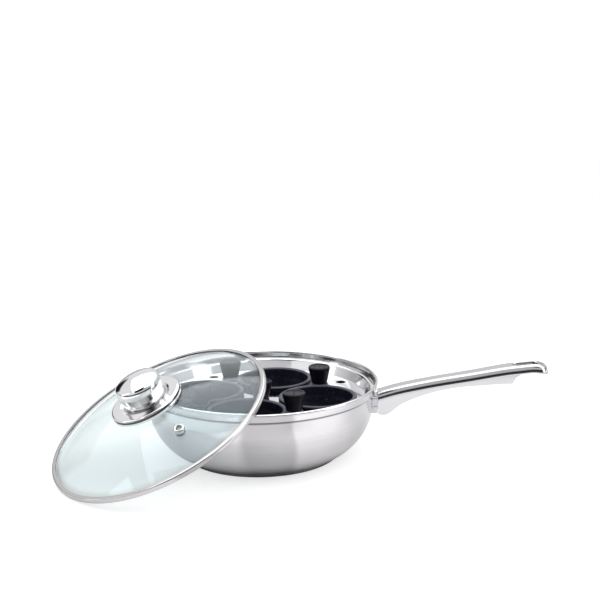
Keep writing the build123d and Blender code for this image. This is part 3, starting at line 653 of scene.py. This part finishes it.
low_z = (LID_R - BAND_ROUND) * np.sin(LID_TILT) + BAND_ROUND * (1 - np.cos(LID_TILT))
climb = BEAD_Z - low_z
touch = (climb * np.cos(LID_TILT) + BEAD_R + RIM_GAP) / np.sin(LID_TILT)
along = touch * np.cos(LID_TILT) + climb * np.sin(LID_TILT)
across = np.sqrt(BAND_LIP_R ** 2 - along ** 2)
reach = touch + np.sqrt(BEAD_RING_R ** 2 - across ** 2)
outward = np.array([np.cos(LID_BEARING), np.sin(LID_BEARING), 0])
up = np.array([0, 0, 1.0])
lid_frame = frame_at(
    reach * outward + low_z * up,
    -outward * np.cos(LID_TILT) + up * np.sin(LID_TILT),
    outward * np.sin(LID_TILT) + up * np.cos(LID_TILT))
lid_turn = tuple(Matrix(lid_frame[:3, :3].tolist()).to_euler())
lid_centre = tuple(float(value) * MM for value in lid_frame[:3, 3])
print("lid centre", lid_frame[:3, 3].round(2), "axis", lid_frame[:3, 2].round(4))


def dome(radius, lift=0.0):
    """Height of the dome's underside at a radius, or of the sphere that is lift outside it."""
    return DOME_Z + np.sqrt((DOME_R + lift) ** 2 - radius ** 2)


def of_lid(name, section, finish, *replaced, turns=288):
    """Spin a closed section in the lid's frame and hand it to the lid."""
    piece = surface(name, placed(spun(section, turns), lid_frame), wrap_rows=True)
    settle(piece, "lid", finish, *replaced)


# %% [markdown]
# The glass is clear with a faint green-blue cast, thick enough to bend what is behind it. It is
# a closed solid with a real thickness, so that light goes in and out of it as it does in life.
# Towards its edge, where one looks through more glass, the tint gets deeper and greener.

# %% The glass
HOLE_R, EDGE_R = 4.2, LID_R - BAND_SHEET - GLASS_SLIP

glass = Finish(
    "lid_glass", Metallic=0.0, Roughness=0.0, IOR=1.47, Transmission_Weight=1.0,
    Specular_Tint=(0.78, 0.89, 1.0, 1))
glass_here = glass.place(lid_centre, lid_turn)
glass_ripple = glass.noise(glass_here, 9.0, 1, 0.4)
x, y, _ = glass.split(glass_here)
near_rim = glass.ramp((x * x + y * y) ** 0.5, (FLANGE_R - 5) * MM, FLANGE_R * MM)
clear = glass.mix(glass_ripple, (0.77, 0.85, 0.86, 1), (0.79, 0.865, 0.875, 1))
glass.feed("Base Color", glass.mix(near_rim, clear, (0.63, 0.67, 0.65, 1)))
glass.bump(glass_ripple, 0.02, 0.0005)


def glass_line(knee_r, before, lift):
    """One face of the glass: the dome out to just before the knee, the soft knee, the flange."""
    dome_r = np.linspace(HOLE_R, knee_r - before, 40)
    level = FLANGE_Z + lift
    knee = [(knee_r - before, dome(knee_r - before, lift)), (knee_r, level), (EDGE_R - 2, level)]
    return np.concatenate([
        np.stack([dome_r, dome(dome_r, lift)], axis=1),
        rounded(knee, [4])[1:]])


over_knee_r = np.sqrt((DOME_R + GLASS) ** 2 - (FLANGE_Z + GLASS - DOME_Z) ** 2)
glass_edge = rounded(
    [(EDGE_R - 1, FLANGE_Z), (EDGE_R, FLANGE_Z), (EDGE_R, FLANGE_Z + GLASS),
     (EDGE_R - 1, FLANGE_Z + GLASS)],
    [BAND_ROUND - BAND_SHEET] * 2, 6)
over_line = glass_line(over_knee_r, 5, GLASS)
glass_section = np.concatenate([glass_line(FLANGE_R, 6, 0.0), glass_edge, over_line[::-1]])
of_lid("lid_pane", finer(glass_section, 3), glass, "lid_glass", turns=320)

# %% [markdown]
# A thin steel band is folded round the edge of the glass: flat below, round outside and turned
# in again on top. The inside of the fold sees no light, so the steel there is dark.

# %% The band round the glass
BAND_HIGH = GLASS + (BAND_SHEET + GLASS_SLIP) * 2

band_steel = turned_steel(
    "band_steel", (0.54, 0.535, 0.54), 0.14, 1500.0, lid_centre, lid_turn, spread=0.0)
fold_low, fold_high = 0.2 * MM, (BAND_HIGH - 0.39) * MM
in_fold = band_steel.between(band_steel.height, fold_low, fold_high, 0.2 * MM, 0.2 * MM)
in_fold = in_fold * band_steel.ramp((LID_R - 0.1) * MM - band_steel.radius, 0.1 * MM, 0.3 * MM)
band_steel.lay_over(in_fold, (0.16, 0.18, 0.16, 1))

band_out = rounded(
    [(BAND_LIP_R, 0), (LID_R, 0), (LID_R, BAND_HIGH), (BAND_LIP_R, BAND_HIGH)],
    [BAND_ROUND] * 2)
band_in = rounded(
    [(BAND_LIP_R, BAND_HIGH - BAND_SHEET), (LID_R - BAND_SHEET, BAND_HIGH - BAND_SHEET),
     (LID_R - BAND_SHEET, BAND_SHEET), (BAND_LIP_R, BAND_SHEET)],
    [BAND_ROUND - BAND_SHEET] * 2, 8)
of_lid("lid_rim_band", np.concatenate([band_out, band_in]), band_steel, "lid_band", turns=320)

# %% [markdown]
# The knob is a hollow steel cup with a soft crown, on a round dished plate. Both are nearly
# mirrors. Three things are drawn on them by radius and by height over the glass: a painted shade
# line in the groove round the knob's foot, a painted dark reflection round the plate's edge, and a
# duller side, because the side is buffed less than the crown.

# %% The knob's steel
PLATE_R, PLATE_SHEET, PLATE_RAISED = 31.2, 0.8, 1.2
PLATE_TOP = GLASS_TOP + 0.8 + PLATE_SHEET
GRIP_R, GRIP_FOOT_R, GRIP_EDGE, GRIP_SHEET = 20.4, 17.6, 4.5, 1.0
GRIP_HEIGHT, GRIP_SIDE = 23.0, 18.2

knob_steel = turned_steel(
    "lid_knob_steel", (0.80, 0.80, 0.81), 0.07, 900.0, lid_centre, lid_turn, bump=0.02)
out, above = knob_steel.radius, knob_steel.height - GLASS_TOP * MM
# A painted shade line in the groove round the knob's foot, and a painted dark reflection round the
# plate's edge.
painted_foot_shade = knob_steel.between(out, (GRIP_FOOT_R - 1) * MM, GRIP_R * MM, 0.8 * MM, 1.2 * MM)
painted_foot_shade = painted_foot_shade * knob_steel.ramp(3.6 * MM - above, 0.0, 1.0 * MM)
painted_edge_reflection = knob_steel.ramp(out, (PLATE_R - 1.3) * MM, (PLATE_R - 0.8) * MM)
painted_edge_reflection = painted_edge_reflection * knob_steel.between(above, -0.6 * MM, 1.9 * MM, 0.5 * MM, 0.6 * MM)
painted_shade_and_reflection = (painted_foot_shade * 0.45 + painted_edge_reflection * 0.92).apply("MINIMUM", 1.0)
knob_steel.lay_over(painted_shade_and_reflection, (0.02, 0.02, 0.022, 1))
on_side = knob_steel.ramp(17.0 * MM - above, 0.0, 3.0 * MM)
on_side = on_side * knob_steel.ramp((GRIP_R + 0.6) * MM - out, 0.0, 0.5 * MM)
knob_steel.feed("Roughness", knob_steel.fed("Roughness") + on_side * 0.08)

# %% [markdown]
# The plate's outer edge turns down to the glass, and its middle is sunk to seat the knob. The
# knob's crown is a shallow sphere through the top of its side. If the crown rises by drop over a
# radius r, the sphere's radius is (r squared + drop squared) / (2 drop). The foot should be open:
# without wrapped rows a flat face closes it on the outer line and another on the inner line.

# %% The plate and the knob
plate_line = rounded(
    [(PLATE_R, dome(PLATE_R - PLATE_SHEET, GLASS) + 0.1), (PLATE_R, PLATE_TOP + PLATE_RAISED),
     (22.3, PLATE_TOP + PLATE_RAISED), (20.5, PLATE_TOP), (2.6, PLATE_TOP)],
    [2.0, 1.1, 1.1])
plate_section = walled(finer(plate_line, 3), PLATE_SHEET)
of_lid("lid_knob_dish", plate_section, knob_steel, "lid_knob_plate")

GRIP_TOP, CROWN_DROP = PLATE_TOP + GRIP_HEIGHT, GRIP_HEIGHT - GRIP_SIDE
CROWN_R = (GRIP_R ** 2 + CROWN_DROP ** 2) / (2 * CROWN_DROP)


def grip_line(inset):
    """Foot, tapered side, rounded edge and soft crown of the lid's knob, drawn in by inset."""
    side_r = GRIP_R - inset
    crown_r = np.linspace(side_r, 0, 30)
    crown_z = GRIP_TOP - CROWN_R + np.sqrt((CROWN_R - inset) ** 2 - crown_r ** 2)
    crown = np.stack([crown_r, crown_z], axis=1)
    start = int(np.argmax(crown_r < side_r - GRIP_EDGE))
    foot = (GRIP_FOOT_R - inset, PLATE_TOP)
    turn = rounded([foot, crown[0], crown[start]], [GRIP_EDGE - inset], 16)
    return np.concatenate([turn, crown[start + 1:]])


grip_section = np.concatenate([finer(grip_line(0), 1.5), finer(grip_line(GRIP_SHEET), 1.5)[::-1]])
lid_grip = surface("lid_grip", placed(spun(grip_section), lid_frame))
settle(lid_grip, "lid", knob_steel, "lid_knob")

# %% [markdown]
# The steam vent is a short steel tube through the glass, with a flange below and a thick rolled
# head above. It stands square to the dome, so it gets a frame of its own inside the lid's.

# %% The steam vent's eyelet
VENT_R, VENT_WAY = 59.1, np.radians(-95.1)
BORE_R, TUBE_R, HEAD_R = 2.3, 3.1, 4.6
VENT_LOW, VENT_HIGH, HEAD_HIGH, FLANGE_HIGH = -0.08, GLASS + 0.08, 3.4, 0.8

lean = np.arcsin(VENT_R / DOME_R)
sideways = np.array([np.cos(VENT_WAY), np.sin(VENT_WAY), 0])
vent_frame = frame_at(
    VENT_R * sideways + dome(VENT_R) * up,
    sideways * np.cos(lean) - up * np.sin(lean),
    sideways * np.sin(lean) + up * np.cos(lean))
vent_section = rounded(
    [(BORE_R, 3.0), (BORE_R, VENT_LOW - FLANGE_HIGH), (HEAD_R, VENT_LOW - FLANGE_HIGH),
     (HEAD_R, VENT_LOW), (TUBE_R, VENT_LOW), (TUBE_R, VENT_HIGH), (HEAD_R, VENT_HIGH),
     (HEAD_R, VENT_HIGH + HEAD_HIGH), (BORE_R, VENT_HIGH + HEAD_HIGH), (BORE_R, 3.0)],
    [0.3, 0.4, 0.3, 0, 0, 0.2, 1.1, 1.0], 6)
vent = surface("vent_eyelet", placed(placed(spun(vent_section, 96), vent_frame), lid_frame))
settle(vent, "lid", band_steel, "lid_vent")

# %% [markdown]
# What holds the knob is hardly seen: two soft washers, a moulded core, a washer and a screw.
# They stay as measured and get plain materials with a fine grain.


# %% Small pieces of the lid that stay as measured
def soft_finish(name, dark, pale):
    """A plain rubber or plastic, whose tone and roughness follow one fine grain."""
    finish = Finish(name, Metallic=0.0, IOR=1.5)
    soft_grain = finish.noise(finish.place(), 500.0, 3, 0.6)
    finish.feed("Base Color", finish.mix(soft_grain, dark, pale))
    finish.feed("Roughness", soft_grain * 0.2 + 0.5)
    return finish


seal_rubber = soft_finish("seal_rubber", (0.50, 0.50, 0.49, 1), (0.60, 0.60, 0.59, 1))
core_plastic = soft_finish("core_plastic", (0.03, 0.03, 0.03, 1), (0.05, 0.05, 0.05, 1))
repaint_node("lid_gaskets", seal_rubber)
repaint_node("lid_knob_core", core_plastic)
repaint_node("lid_washer", screw_steel)
repaint_node("lid_screw", screw_steel)

# %% [markdown]
# ## The handle
#
# The handle is pressed from sheet: a rounded top band over two thinner side webs, open below. Its
# side view and its width are smooth curves through a few points, each a share of the length
# against a share of the rise, the width or the web's depth.

# %% The handle's outlines
ROOT_X, HANDLE_L, ROOT_Z, HANDLE_RISE, HALF_W, WEB_DEPTH = 101.6, 148.8, 54.4, 22.6, 9.6, 21.6
TOP_X = np.array([0, 0.113, 0.256, 0.537, 0.822, 0.93, 1])
TOP_Z = np.array([0, 0.205, 0.393, 0.683, 0.96, 1, 0.9])
WIDE_X = np.array([0, 0.2, 0.5, 0.8, 0.9355])
WIDE = np.array([0.94, 0.9, 0.88, 0.97, 1.0])
WEB_X = np.array([0, 0.035, 0.14, 0.3, 0.47, 0.64, 0.784, 0.806, 0.85, 0.852])
WEB = np.array([0.9, 1, 0.74, 0.53, 0.49, 0.59, 0.7, 0.45, 0.3, 0.0])
WEB_SMOOTH = 7


def smooth_table(x, xs, ys):
    """A smooth curve through a few points: a cubic piece between each pair, with mean slopes."""
    slope = np.gradient(ys, xs)
    k = np.clip(np.searchsorted(xs, x) - 1, 0, len(xs) - 2)
    step = xs[k + 1] - xs[k]
    t = np.clip((x - xs[k]) / step, 0, 1)
    start = (2 * t ** 3 - 3 * t ** 2 + 1) * ys[k] + (t ** 3 - 2 * t ** 2 + t) * step * slope[k]
    end = (3 * t ** 2 - 2 * t ** 3) * ys[k + 1] + (t ** 3 - t ** 2) * step * slope[k + 1]
    return start + end


def top_height(x):
    return ROOT_Z + HANDLE_RISE * smooth_table((x - ROOT_X) / HANDLE_L, TOP_X, TOP_Z)


def half_width(x):
    return HALF_W * smooth_table((x - ROOT_X) / HANDLE_L, WIDE_X, WIDE)


def web_depth(x):
    """Depth of the web's low edge: smooth as far as the oblique cut, and straight lines in it."""
    share = (x - ROOT_X) / HANDLE_L
    smooth = smooth_table(share, WEB_X[:WEB_SMOOTH], WEB[:WEB_SMOOTH])
    return WEB_DEPTH * np.where(share < WEB_X[WEB_SMOOTH - 1], smooth, np.interp(share, WEB_X, WEB))


# %% [markdown]
# The surface is easiest as rings round the outline of the handle, seen from above: along the near
# side, round the nose and back along the far side, so the end is truly round. The first ring is
# the middle line of the top. The rings go out to the edge, down the shoulder, in to the web, down
# the web and back up inside to the middle. Under the nose there is no hollow.

# %% The handle's surface
NOSE_X = ROOT_X + HANDLE_L - HALF_W
CUT_FROM_X, CUT_TO_X, WEB_END_X, HOLLOW_END_X = 217, 229, 228.2, 221.6
SHOULDER, SHOULDER_R, SHOULDER_H, INSET, WEB_SHEET, ROOF = 7.5, 3.6, 7.0, 1.0, 1.2, 2.4


def handle_grid():
    """Rings of the handle from the top's middle line outwards, down, and back inside.

    The shoulder is a quarter of an ellipse, r wide and h high. At a distance d inside the edge
    the top is lower by h - h * sqrt(1 - ((r - d) / r) squared).
    """
    x = np.concatenate([
        np.linspace(ROOT_X, CUT_FROM_X, 90), np.linspace(CUT_FROM_X, CUT_TO_X, 40)[1:],
        np.linspace(CUT_TO_X, NOSE_X, 14)[1:]])
    turn = np.linspace(-np.pi / 2, np.pi / 2, 49)[1:-1]
    spine = np.concatenate([x, 0 * turn + NOSE_X, x[::-1]])
    width = np.concatenate([half_width(x), 0 * turn + HALF_W, half_width(x[::-1])])
    side = np.concatenate([0 * x - np.pi / 2, turn, 0 * x + np.pi / 2])

    def ring(out, drop):
        """A line at a distance out from the spine and at a drop below the top's curve."""
        px = spine + out * np.cos(side)
        return np.stack([px, out * np.sin(side), top_height(px) - drop], axis=-1)

    flat = np.linspace(1, 0.35, 8)
    bend = 0.35 * (1 - np.sin(np.linspace(0, np.pi / 2, 14)[1:]))
    rings = []
    for share in np.concatenate([flat, bend]):
        gap = share * width
        short = np.maximum(SHOULDER_R - gap, 0)
        drop = SHOULDER_H * (1 - np.sqrt(1 - (short / SHOULDER_R) ** 2))
        rings.append(ring(width - gap, drop))
    rings.append(ring(width, SHOULDER - 0.5))
    rings.append(ring(width - 0.15, SHOULDER - 0.15))
    rings.append(ring(width - 0.5, SHOULDER))
    web = width - INSET
    start = SHOULDER + 0.02
    rings.append(ring(web, start))
    web_x = spine + web * np.cos(side)
    low = np.maximum(web_depth(np.minimum(web_x, NOSE_X)), SHOULDER + 0.05)
    low = np.where(spine > WEB_END_X, SHOULDER + 0.05, low)
    roof = np.minimum(low, np.where(web_x < HOLLOW_END_X, ROOF, SHOULDER + 0.04))
    for share in np.linspace(0.08, 1, 14):
        rings.append(ring(web, start + (low - start) * share))
    rings.append(ring(web - WEB_SHEET, low))
    for share in np.linspace(0.12, 1, 10):
        rings.append(ring(web - WEB_SHEET, low + (roof - low) * share))
    for share in np.linspace(0.85, 0, 6):
        rings.append(ring((web - WEB_SHEET) * share, roof))
    return np.array(rings)


handle = surface("long_handle", handle_grid(), wrap_columns=False, sharp=42)

# %% [markdown]
# The hang slot is cut by a long round-ended plug. The plug's wall flares out above and below
# along quarter circles, so that the slot's edges come out soft.

# %% The hang slot
SLOT_L, SLOT_HALF_W, SLOT_FROM_END, SLOT_SOFT = 21.5, 5.2, 9.4, 1.1


def slot_cutter():
    """The plug as rings of (spread beyond the slot's outline, drop below the handle's top)."""
    centre_x = ROOT_X + HANDLE_L - SLOT_FROM_END - SLOT_L / 2
    turn = np.arange(96) / 96 * TAU
    way = np.stack([np.cos(turn), np.sin(turn)], axis=1)
    core = np.sign(way[:, 0]) * (SLOT_L / 2 - SLOT_HALF_W) + centre_x
    flare = np.radians(np.linspace(0, 80, 7))
    spread, sunk = SLOT_SOFT * (1 - np.cos(flare)), SLOT_SOFT * (1 - np.sin(flare))
    levels = [(1.2, -3.0)] + list(zip(spread[::-1], sunk[::-1]))
    levels += list(zip(spread, SHOULDER - sunk)) + [(1.2, 14.0)]
    rings = []
    for wider, drop in levels:
        px = core + (SLOT_HALF_W + wider) * way[:, 0]
        py = (SLOT_HALF_W + wider) * way[:, 1]
        rings.append(np.stack([px, py, top_height(px) - drop], axis=-1))
    return surface("cutter", np.array(rings))


cut(handle, slot_cutter(), sharp=42)

# %% [markdown]
# The handle is polished along its length, so its fine lines run that way: the noise is stretched
# along X. The bracket is plain welded steel, a little duller.

# %% The handle's finish
handle_steel = Finish("handle_steel", Metallic=1.0, IOR=2.5)
line = handle_steel.noise(handle_steel.place(scale=(30, 1, 1)), 1400.0, 4, 0.7)
cloud = handle_steel.noise(handle_steel.place(), 40.0, 2, 0.5)
handle_steel.feed("Roughness", line * 0.05 + cloud * 0.05 + 0.05)
handle_tone = handle_steel.mix(cloud, (0.56, 0.56, 0.57, 1), (0.62, 0.62, 0.63, 1))
handle_steel.feed("Base Color", handle_tone)
handle_steel.bump(line, 0.03, 0.0001)
settle(handle, "pan", handle_steel, "handle")

bracket_steel = turned_steel("bracket_steel", (0.62, 0.61, 0.66), 0.28, 1200.0)
repaint_node("handle_bracket", bracket_steel)

# %% [markdown]
# ## The table, the light and the camera
#
# A pale table runs on past the picture. The camera and the glass see it white, and the object's
# shadow stays on it near by. Diffuse light meets its real grey. Far out it fades to plain white,
# where no lamp reaches. A mirror-bright piece sees another table, as it would see a studio's
# floor: paler in front than behind, without glow under the pan, with a dark wedge that gives the
# bowl its soft grey fold, and black from the front edge on, which gives the bowl's low side and
# the handle their dark lines.


# %% The table
def flat_card(name, corners):
    """One four-cornered face."""
    mesh = bpy.data.meshes.new(name)
    mesh.from_pydata(corners, [], [(0, 1, 2, 3)])
    return add_object(name, mesh)


FAR = 30.0
table = flat_card("table", [(-FAR, -FAR, 0), (FAR, -FAR, 0), (FAR, FAR, 0), (-FAR, FAR, 0)])

BLACK = (0, 0, 0, 1)
cloth = Finish("table_paper", Roughness=0.9, Specular_IOR_Level=0.1, Emission_Strength=1.0)
on_table = cloth.place()
x, y, _ = cloth.split(on_table)
from_axis = (x * x + y * y) ** 0.5
far = cloth.ramp(from_axis, 0.5, 1.5)
under_pan = cloth.ramp(from_axis, 0.064, 0.086)
diffuse_ray = cloth.node("ShaderNodeLightPath", {}, {}, "Is Diffuse Ray")
through_ray = cloth.node("ShaderNodeLightPath", {}, {}, "Is Transmission Ray")
mirror_ray = cloth.node("ShaderNodeLightPath", {}, {}, "Is Glossy Ray") * (1.0 - through_ray)

grain = cloth.noise(on_table, 3.0, 2, 0.5)
plain = cloth.mix(grain, (0.78, 0.78, 0.78, 1), (0.80, 0.80, 0.80, 1))
white_look = cloth.mix(far, (0.42, 0.42, 0.42, 1), BLACK)
white_glow = cloth.mix(far, (0.65, 0.65, 0.65, 1), (1, 1, 1, 1))
mirror_look = cloth.mix(cloth.ramp(y, -0.16, 0.0), (0.66, 0.65, 0.66, 1), (0.42, 0.42, 0.43, 1))
wedge = cloth.ramp(x - y * 0.32, 0.0, 0.02) * cloth.ramp(0.0 - x - y * 0.52, 0.0, 0.012)
mirror_look = cloth.mix(wedge * 0.46, mirror_look, BLACK)
mirror_glow = cloth.mix(under_pan, BLACK, (0.25, 0.25, 0.25, 1))
mirror_glow = cloth.mix(far, mirror_glow, (0.9, 0.9, 0.9, 1))

black_corner = cloth.ramp(0.0 - y, 0.235, 0.29) * cloth.ramp(x, 0.10, 0.16)
black_front = (black_corner + cloth.ramp(0.0 - y, 0.30, 0.60)).apply("MINIMUM", 1.0) * mirror_ray
look = cloth.mix(diffuse_ray, cloth.mix(mirror_ray, white_look, mirror_look), plain)
glow = cloth.mix(diffuse_ray, cloth.mix(mirror_ray, white_glow, mirror_glow), BLACK)
cloth.feed("Base Color", cloth.mix(black_front, look, (0.05, 0.05, 0.05, 1)))
cloth.feed("Emission Color", cloth.mix(black_front, glow, BLACK))
paint(table, cloth)

# %% [markdown]
# The lamps are soft boxes: a wide one overhead, one at the right front, whose image makes the
# bright upright band on the bowl, and a weak one at the left. A black flag hangs at the left
# front, as a photographer hangs one, to give polished steel its black lines. Only reflections
# show it: it throws no shadow and isn't seen through the glass.


# %% The lamps and the black flag
def lamp(name, place, target, width, height, watts):
    """A soft box that faces a target."""
    light = bpy.data.lights.new(name, "AREA")
    light.shape = "RECTANGLE"
    light.size, light.size_y, light.energy = width, height, watts
    held = add_object(name, light)
    held.location = place
    held.rotation_euler = (Vector(target) - Vector(place)).to_track_quat("-Z", "Y").to_euler()


lamp("overhead", (0.0, 0.15, 1.3), (0, 0.15, 0), 2.3, 2.3, watts=25)
lamp("right_side", (1.3, -0.35, 0.55), (0, 0, 0.05), 0.5, 1.1, watts=6)
lamp("left_side", (-1.5, -0.1, 0.7), (0, 0, 0.05), 0.3, 1.0, watts=1.5)

flag = flat_card("black_flag", [
    (-0.62, -0.88, 0.66), (0.0, -0.93, 0.66), (-0.18, -0.30, 1.05), (-0.72, -0.13, 0.86)])
flag.visible_camera = flag.visible_shadow = flag.visible_diffuse = flag.visible_transmission = False
felt = Finish("black_felt", Roughness=0.9, Specular_IOR_Level=0.0)
felt_grain = felt.noise(felt.place(), 40.0, 2, 0.5)
felt.feed("Base Color", felt.mix(felt_grain, (0.008, 0.008, 0.009, 1), (0.014, 0.014, 0.015, 1)))
paint(flag, felt)

# %% [markdown]
# The room is all direction: x is to the right, y away from the camera and z up. Low down it is
# nearly black behind the camera and grey beyond the object. Higher up it is pale all round, and
# white at the left front. Two dark cards, each given by its range of x, y and z, are there to be
# mirrored in the steel. The camera, and what it sees through the glass, gets plain white.


# %% The room
class Air(Finish):
    """The world's nodes, worked with like those of a finish."""

    def __init__(self, world):
        self.tree = world.node_tree
        self.shader = self.tree.nodes["Background"]


DARK_CARDS = (
    ((-0.78, -0.44), (0.0, 1.1), (0.05, 0.42)),
    ((0.10, 0.40), (-1.1, -0.3), (0.52, 0.80)))
CARD_SOFT = 0.06

room = bpy.data.worlds.new("room")
bpy.context.scene.world = room
room.use_nodes = True
air = Air(room)
direction = air.split(air.node("ShaderNodeTexCoord", {}, {}, "Generated"))
x, y, z = direction
low_room = air.mix(air.ramp(y, -0.3, 0.4), (0.015, 0.015, 0.02, 1), (0.45, 0.45, 0.46, 1))
high_room = air.mix(air.ramp(y, -0.8, 0.3), (0.68, 0.68, 0.69, 1), (0.90, 0.90, 0.91, 1))
left_front = air.ramp(0.0 - x, 0.35, 0.55) * air.ramp(0.0 - y, 0.2, 0.5)
high_room = air.mix(left_front, high_room, (1, 1, 1, 1))
studio = air.mix(air.ramp(z, 0.12, 0.32), low_room, high_room)
for card in DARK_CARDS:
    masks = [
        air.between(part, low, high, CARD_SOFT, CARD_SOFT)
        for part, (low, high) in zip(direction, card)]
    studio = air.mix(masks[0] * masks[1] * masks[2], studio, (0.012, 0.012, 0.014, 1))
camera_ray = air.node("ShaderNodeLightPath", {}, {}, "Is Camera Ray")
through_ray = air.node("ShaderNodeLightPath", {}, {}, "Is Transmission Ray")
seen_plain = (camera_ray + through_ray).apply("MINIMUM", 1.0)
air.feed("Color", air.mix(seen_plain, studio, (1, 1, 1, 1)))

# %% [markdown]
# The camera was fitted to the outlines of the rim, the base, the cups and the lid in the picture.
# Its three axes are written out: to its right, up, and back towards the viewer.

# %% The camera
eye = bpy.data.cameras.new("camera")
eye.lens, eye.sensor_width, eye.sensor_fit = 88.74, 36.0, "HORIZONTAL"
eye.clip_start, eye.clip_end = 0.05, 60
camera = add_object("camera", eye)
right_axis = Vector((0.99983208, -0.00412562, -0.01785448))
up_axis = Vector((0.01832493, 0.22509895, 0.97416357))
back_axis = Vector((0, -0.97432717, 0.22513676))
facing = Matrix((right_axis, up_axis, back_axis)).transposed().to_4x4()
camera.matrix_world = Matrix.Translation((0.0354, -1.240648, 0.42332)) @ facing
bpy.context.scene.camera = camera
bpy.context.scene.view_settings.view_transform = "Standard"
